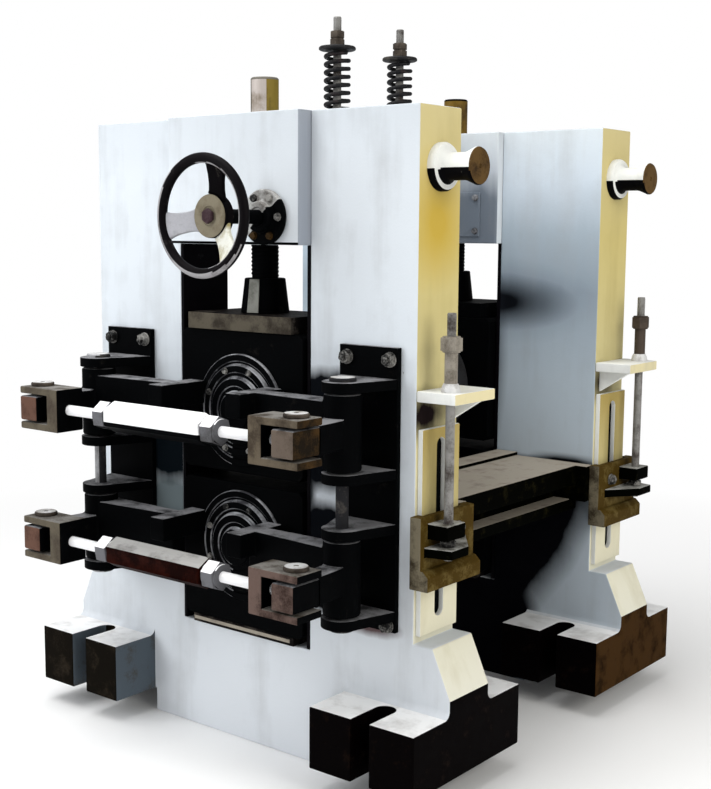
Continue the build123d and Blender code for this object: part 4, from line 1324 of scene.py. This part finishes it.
@dataclass
class LeverGear:
    """Brackets, long pins, bell cranks, forks and turnbuckles on the near housing."""

    levels: Pair = (0.870, 0.534)
    face: float = 0.096
    pin_x: float = 0.414
    pin_out: float = 0.198
    fork_x: float = 0.427
    fork_out: float = 0.372
    body_half: float = 0.161
    body_flats: float = 0.070
    nut_flats: float = 0.062
    nut_length: float = 0.044
    lit_depth: float = 0.009
    bolt_columns: Pair = (0.345, 0.470)
    bolt_rows: Pair = (1.030, 0.406)
    rod_start: float = 0.121
    rod_end: float = 0.3615
    fork_half: float = 0.054

    def _brackets(self) -> None:
        """Builds the brackets with their bolts and the long pins."""
        # Upward faces are painted lighter grey: wear, and painted top light.
        top = (("worn_lit_top", looks(z=1)),)
        brackets = Piece("lever_brackets_dressed", "stand", "black_iron")
        brackets.adopt("lever_brackets", "black", 0.0016, top, inner=False)
        pins = Piece("lever_pins_dressed", "stand", "bright_steel", ("lever_pins",))
        bolt = HexBolt(0.027, 0.013, 0.004, 0.006).form()
        pin = (
            (0, 0.409), (0.028, 0.409), (0.031, 0.412), (0.031, 0.418), (0.015, 0.418),
            (0.015, 0.986), (0.031, 0.986), (0.031, 0.992), (0.028, 0.995), (0, 0.995),
        )
        shade = (
            ("pin_dark", lambda middle, normal: normal.x > 0.6 or middle.x > 0),
            ("pin_head", looks(z=1)),
        )
        y = outward(Side.NEAR, self.face)
        for hand in BOTH_HANDS:
            for x in self.bolt_columns:
                for z in self.bolt_rows:
                    brackets.add(bolt, "bolt", spot(hand.value * x, y, z, Axis.FRONT, 37 * x * z * 40))
            place = spot(hand.value * self.pin_x, outward(Side.NEAR, self.pin_out), 0)
            pins.add(Form.lathe(pin, 32), "pin", place, paints=shade)
        brackets.done()
        pins.done()

    def _forks(self, name: str, front: str, end: str, side: str) -> None:
        """Builds the levers and forks of one level.

        Args:
            name: the level's word in the node names.
            front: the finish of the right fork's front.
            end: the finish of the right lever end's front.
            side: the finish of the right fork's outer side.
        """
        # Painted light and shade on the levers: tops lighter, the right lever ends' right sides dark brown.
        levers = (
            ("worn_lit_top", looks(z=1)),
            (side, lambda middle, normal: normal.x > 0.7 and middle.x > 0.43 and middle.y < -0.75),
            (end, lambda middle, normal: normal.y < -0.7 and middle.y < -0.83 and middle.x > 0),
            ("brown", lambda middle, normal: normal.y < -0.7 and middle.y < -0.83 and middle.x < 0),
        )
        dress(f"{name}_levers", "stand", "black_iron", "black", 0.005, levers)
        # Painted light and shade on the forks: the right fork's front lighter than the left one's, tops
        # lighter, right-facing sides dark brown or black, undersides black.
        forks = (
            (front, lambda middle, normal: normal.y < -0.7 and middle.x > 0),
            ("fork_left_shaded", lambda middle, normal: normal.y < -0.7 and middle.x < 0),
            (side, lambda middle, normal: normal.x > 0.7 and middle.x > 0.45),
            ("black", lambda middle, normal: normal.x > 0.7 and middle.x < 0.45),
            ("fork_top_lit", looks(z=1)),
            ("black", looks(z=-1)),
        )
        dress(f"{name}_forks", "stand", "oily_steel", "oily", 0.0035, forks)

    def _body(self) -> Form:
        """Builds one hexagonal turnbuckle body with tapered ends, pointed edge up."""
        half = self.body_half
        body = Form.bar(6, self.body_flats, 2 * half, -half)
        for end in (-1, 1):
            body.cut((0, 0, end * (half - 0.006)), (0, 0, 1))
        for vert in body.mesh.verts:
            if abs(abs(vert.co.z) - half) < 1e-5:
                vert.co.x *= 0.86
                vert.co.y *= 0.86
        body.bevelled(0.0022, 2, 20).moved(Matrix.Rotation(math.radians(30), 4, "Z"))
        return body.cut((self.lit_depth, 0, 0), (1, 0, 0))

    def _turnbuckles(self) -> None:
        """Builds turnbuckle bodies, rods, lock nuts and fork pins."""
        y = outward(Side.NEAR, self.fork_out)
        rods = Piece("turnbuckle_rods_dressed", "stand", "bright_steel", ("turnbuckle_rods",))
        nuts = Piece("turnbuckle_nuts_dressed", "stand", "bright_steel", ("turnbuckle_nuts",))
        pins = Piece("fork_pins_dressed", "stand", "oily_steel", ("fork_pins",))
        head = (
            (0, 0), (0.027, 0), (0.029, 0.002), (0.029, 0.007), (0.026, 0.010), (0.006, 0.010),
            (0.0045, 0.0085), (0, 0.0085),
        )
        long = 2 * self.fork_half
        shank = ((0, 0), (0.014, 0), (0.014, long), (0, long))
        thread = Form.thread(0.013, 0.0014, 0.003, self.rod_end - self.rod_start - 0.0042, 20)
        nut = HexNut(self.nut_flats, self.nut_length, 0.0131).form()
        # The top body is black with a painted highlight on its upper part; the bottom body's upper front
        # facet is painted grey as lit.
        lit = self.levels[0] - self.lit_depth
        upper = (("bright", lambda middle, normal: middle.z > lit),)
        facet = (("facet", looks(y=-0.5, z=0.87)),)
        sets = (
            ("top", "black", "bright_steel", ("fork_front", "end_front", "fork_side_shaded"), upper),
            ("bottom", "maroon", "oily_steel", ("fork_low", "fork_low", "black"), facet),
        )
        # The nuts' upper facets get a painted highlight and their lower ones painted shade.
        sides = (("bright", looks(y=-0.3, z=1)), ("black", looks(y=-0.3, z=-1)))
        for level, (name, finish, slot, fronts, paints) in zip(self.levels, sets):
            self._forks(name, *fronts)
            piece = Piece(f"{name}_turnbuckle_dressed", "stand", slot, (f"{name}_turnbuckle",))
            piece.add(self._body(), finish, spot(0, y, level, Axis.RIGHT), paints=paints).done()
            for hand in BOTH_HANDS:
                axis = Axis.RIGHT if hand is Hand.RIGHT else Axis.LEFT
                rods.add(thread, "bright", spot(hand.value * self.rod_start, y, level, axis))
                place = spot(hand.value * self.body_half, y, level, axis, 30 + 9 * hand.value)
                nuts.add(nut, "nut_front", place, paints=sides)
                x = hand.value * self.fork_x
                pins.add(Form.lathe(shank, 24), "oily", spot(x, y, level - self.fork_half))
                place = spot(x, y, level + self.fork_half)
                pins.add(Form.lathe(head, 32), "oily", place, paints=(("pin_head", looks(z=1)),))
        for piece in (rods, nuts, pins):
            piece.done()

    def build(self) -> None:
        """Builds the whole gear."""
        self._brackets()
        self._turnbuckles()


@dataclass
class HeightGear:
    """Slotted plates, shelves, threaded rods, sliders and the rest bar on the posts' right faces."""

    rod_x: float = 0.603
    rod_shift: float = 0.046
    shelf_top: float = 0.962
    nut_low: float = 1.052
    rod_low: float = 0.575
    slider_face: float = 0.571
    lug_top: float = 0.607
    rod_plain: float = 0.398
    thread_start: float = 0.390
    thread_length: float = 0.172
    slider_bolt: Pair = (-0.042, 0.632)
    sleeve_tall: float = 0.09
    slot_low: float = 0.424
    slot_high: float = 0.848
    slot_radius: float = 0.017

    def _plates(self) -> None:
        """Builds the slotted plates, shelves, sleeves and nuts."""
        plates = Piece("slide_plates_dressed", "stand", "gear_paint")
        plates.adopt("slide_plates", "shelf", 0.0025, (("plate_side", looks(x=1)),))
        turns = [math.radians(15 * step) for step in range(13)]
        low, high = self.slot_low + self.slot_radius, self.slot_high - self.slot_radius
        radius = self.slot_radius * 0.98
        outline = [(high + radius * math.sin(turn), radius * math.cos(turn)) for turn in turns]
        outline += [(low - radius * math.sin(turn), -radius * math.cos(turn)) for turn in turns]
        # Thin black sheets on the posts' faces behind the slots: painted shade inside the slots.
        upright = Matrix.Scale(-1, 4, (1, 0, 0))
        for side in BOTH_SIDES:
            place = spot(HALF_WIDTH + 0.0005, outward(side, 0), 0, Axis.RIGHT) @ upright
            plates.add(Form.prism(outline, 0.001), "black", place)
        plates.done()
        dress("height_shelves", "stand", "gear_paint", "shelf", 0.0025, (("shelf_side", looks(x=1)),))
        sleeves = Piece("height_rod_sleeves_dressed", "stand", "rod_steel", ("height_rod_sleeves",))
        nuts = Piece("height_rod_nuts_dressed", "stand", "rod_steel", ("height_rod_nuts",))
        top = self.sleeve_tall
        sleeve = (
            (0.0111, 0), (0.0145, 0), (0.015, 0.0005), (0.015, top - 0.0015),
            (0.0145, top), (0.0111, top), (0.0111, 0),
        )
        nut = HexNut(0.044, 0.036, 0.0111).form()
        collar = (
            (0.0151, 0), (0.022, 0), (0.0225, 0.002), (0.0205, 0.012),
            (0.0165, 0.020), (0.0151, 0.020), (0.0151, 0),
        )
        for side, finish in ((Side.NEAR, "sleeve"), (Side.FAR, "sleeve_far")):
            y = outward(side, self.rod_shift)
            sleeves.add(Form.lathe(sleeve, 32), finish, spot(self.rod_x, y, self.shelf_top))
            sleeves.add(Form.lathe(collar, 32), "pin_head", spot(self.rod_x, y, self.shelf_top))
            nuts.add(nut, finish, spot(self.rod_x, y, self.nut_low, turn=9 + 11 * side.value))
        sleeves.done()
        nuts.done()

    def _moving(self) -> None:
        """Builds the rods, sliders and rest bar, which move together."""
        body = "right_rest_bar"
        rods = Piece("right_height_rods_dressed", body, "rod_steel", ("right_height_rods",))
        thread = Form.thread(0.011, 0.0012, 0.003, self.thread_length, 20)
        plain = ((0, 0), (0.0108, 0), (0.0108, self.rod_plain), (0, self.rod_plain))
        sliders = Piece("right_sliders_dressed", body, "black_iron")

        def is_lug(middle: Vector, normal: Vector) -> bool:
            """Tells whether a face is on a slider's lug."""
            return middle.x > self.slider_face + 0.001 and middle.z > 0.57

        paints = (
            ("bar_side", is_lug),
            ("lug", lambda middle, normal: normal.z > 0.7 and is_lug(middle, normal)),
            ("slider_front", lambda middle, normal: normal.y < -0.7 and middle.x < self.slider_face + 0.001),
        )
        sliders.adopt("right_sliders", "gear", 0.003, paints)
        bolt = HexBolt(0.024, 0.010, 0.003, 0.004).form()
        nut = HexNut(0.034, 0.014, 0.0111).form()
        out, level = self.slider_bolt
        for side in BOTH_SIDES:
            y = outward(side, self.rod_shift)
            rods.add(Form.lathe(plain, 28), "rod", spot(self.rod_x, y, self.rod_low))
            rods.add(thread, "rod", spot(self.rod_x, y, self.rod_low + self.thread_start))
            sliders.add(bolt, "bolt", spot(self.slider_face, outward(side, out), level, Axis.RIGHT, 14))
            sliders.add(nut, "bolt", spot(self.rod_x, y, self.lug_top, turn=20))
        rods.done()
        sliders.done()
        dress("right_rest_bar", body, "bar_steel", "bar_side", 0.003, (("planed", looks(z=1)),))

    def build(self) -> None:
        """Builds the gear."""
        self._plates()
        self._moving()


@dataclass
class Trunnions:
    """The two lifting trunnions."""

    level: float = 1.464
    end: float = 0.105

    def build(self) -> None:
        """Builds the trunnions as turned castings with a bare worn end."""
        body = (
            (0, 0), (0.055, 0), (0.055, 0.012), (0.051, 0.018), (0.040, 0.0185), (0.034, 0.022),
            (0.031, 0.030), (0.031, 0.068), (0.033, 0.076), (0.0405, 0.095), (0.042, 0.098), (0.042, 0.102),
        )
        out = self.end
        end = ((0.042, 0.102), (0.0405, out - 0.0005), (0.038, out), (0.006, out), (0.004, 0.102), (0, 0.102))
        piece = Piece("lifting_trunnions_dressed", "stand", "gear_paint", ("lifting_trunnions",))
        # Undersides are painted black as shade, and so is the lower rim of each end.
        under = (("trunnion_underside_shade", lambda middle, normal: normal.z < -0.12),)
        reach = HALF_WIDTH + out - 0.0004
        rim = (("black", lambda middle, normal: middle.z < self.level - 0.012 and middle.x < reach),)
        for side in BOTH_SIDES:
            place = spot(HALF_WIDTH, outward(side, 0), self.level, Axis.RIGHT)
            piece.add(Form.lathe(body, 64), "shelf", place, paints=under)
            piece.add(Form.lathe(end, 64), "bronze", place, paints=rim)
        piece.done()


@dataclass(frozen=True)
class Lamp:
    """One large soft lamp, with its side length in metres and its power in watts."""

    name: str
    place: Triple
    size: float
    power: float
    colour: Triple


@dataclass
class Studio:
    """Floor, lamps, world and camera."""

    eye: Triple = (2.2150, -2.8627, 1.3232)
    azimuth: float = 38.636
    elevation: float = 7.7457
    roll: float = 0.355
    lens: float = 58.85
    shift: Pair = (0.0115, 0.0130)
    ambient: float = 0.42
    floor_radius: float = 14.0
    fade: Pair = (2.1, 2.4)
    lamp_target: Triple = (0.0, 0.0, 0.8)
    lamps: tuple[Lamp, ...] = (
        Lamp("overhead", (-0.6, -1.2, 4.6), 3.6, 180.0, (1.0, 1.0, 1.0)),
        Lamp("front_left", (-2.6, -4.2, 2.4), 2.8, 104.0, (0.95, 0.98, 1.0)),
        Lamp("right", (4.4, -0.8, 2.4), 2.6, 90.0, (1.0, 0.98, 0.92)),
    )

    def _camera(self) -> None:
        """Sets the camera at the photograph's angle."""
        azimuth, elevation, roll = (math.radians(v) for v in (self.azimuth, self.elevation, self.roll))
        flat = math.cos(elevation)
        ahead = Vector((-math.sin(azimuth) * flat, math.cos(azimuth) * flat, -math.sin(elevation)))
        level = Vector((math.cos(azimuth), math.sin(azimuth), 0.0))
        above = level.cross(ahead)
        right = math.cos(roll) * level + math.sin(roll) * above
        up = -math.sin(roll) * level + math.cos(roll) * above
        data = bpy.data.cameras.new("view")
        data.sensor_fit = "AUTO"
        data.sensor_width = 36.0
        data.lens = self.lens
        data.shift_x, data.shift_y = self.shift
        data.clip_end = 100.0
        camera = bpy.data.objects.new("view", data)
        camera.matrix_world = Matrix.Translation(self.eye) @ Matrix((right, up, -ahead)).transposed().to_4x4()
        bpy.context.scene.collection.objects.link(camera)
        bpy.context.scene.camera = camera

    def _lamp(self, lamp: Lamp) -> None:
        """Adds one lamp that looks at the stand."""
        data = bpy.data.lights.new(lamp.name, "AREA")
        data.shape = "SQUARE"
        data.size = lamp.size
        data.energy = lamp.power
        data.color = lamp.colour
        made = bpy.data.objects.new(lamp.name, data)
        aim = Vector(self.lamp_target) - Vector(lamp.place)
        turn = aim.to_track_quat("-Z", "Y").to_matrix().to_4x4()
        made.matrix_world = Matrix.Translation(lamp.place) @ turn
        bpy.context.scene.collection.objects.link(made)

    def _world(self) -> None:
        """Makes the world: a plain pale light that the camera sees as white."""
        world = bpy.data.worlds.new("pale_room")
        bpy.context.scene.world = world
        world.use_nodes = True
        tree = world.node_tree
        tree.nodes.clear()
        path = tree.nodes.new("ShaderNodeLightPath")
        level = tree.nodes.new("ShaderNodeMix")
        level.data_type = "FLOAT"
        level.inputs[2].default_value = self.ambient
        level.inputs[3].default_value = 1.0
        back = tree.nodes.new("ShaderNodeBackground")
        out = tree.nodes.new("ShaderNodeOutputWorld")
        back.inputs["Color"].default_value = (1.0, 1.0, 1.0, 1.0)
        tree.links.new(path.outputs["Is Camera Ray"], level.inputs[0])
        tree.links.new(level.outputs[0], back.inputs["Strength"])
        tree.links.new(back.outputs[0], out.inputs[0])

    def _floor(self) -> None:
        """Makes the round pale floor, which fades to white and keeps the shadow."""
        shader = Shader("pale_floor")
        plain = shader.tree.nodes.new("ShaderNodeBsdfDiffuse")
        plain.inputs["Color"].default_value = (0.93, 0.93, 0.93, 1.0)
        white = shader.tree.nodes.new("ShaderNodeEmission")
        mixed = shader.tree.nodes.new("ShaderNodeMixShader")
        distance = shader.add("ShaderNodeVectorMath", {"operation": "LENGTH"}, {0: shader.place}, "Value")
        camera = shader.add("ShaderNodeLightPath", output="Is Camera Ray")
        fade = distance.above(*self.fade) * camera
        shader.tree.links.new(fade.socket, mixed.inputs[0])
        shader.tree.links.new(plain.outputs[0], mixed.inputs[1])
        shader.tree.links.new(white.outputs[0], mixed.inputs[2])
        shader.tree.links.new(mixed.outputs[0], shader.output.inputs[0])
        form = Form()
        bmesh.ops.create_circle(form.mesh, cap_ends=True, segments=96, radius=self.floor_radius)
        data = bpy.data.meshes.new("floor")
        form.mesh.to_mesh(data)
        data.materials.append(shader.material)
        floor = bpy.data.objects.new("floor", data)
        bpy.context.scene.collection.objects.link(floor)

    def build(self) -> None:
        """Sets up floor, world, lamps and camera."""
        self._camera()
        self._world()
        self._floor()
        for lamp in self.lamps:
            self._lamp(lamp)
        bpy.context.scene.view_settings.view_transform = "Standard"


def main() -> None:
    """Builds the stage and every sub-assembly in order."""
    logging.basicConfig(level=logging.INFO, format="%(name)s: %(message)s")
    kinds = (Studio, Housings, ScrewDown, RollSet, Hangers, LeverGear, HeightGear, Trunnions)
    for assembly in (kind() for kind in kinds):
        log.info("building %s", type(assembly).__name__)
        assembly.build()
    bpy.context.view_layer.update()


if __name__ == "__main__":
    main()
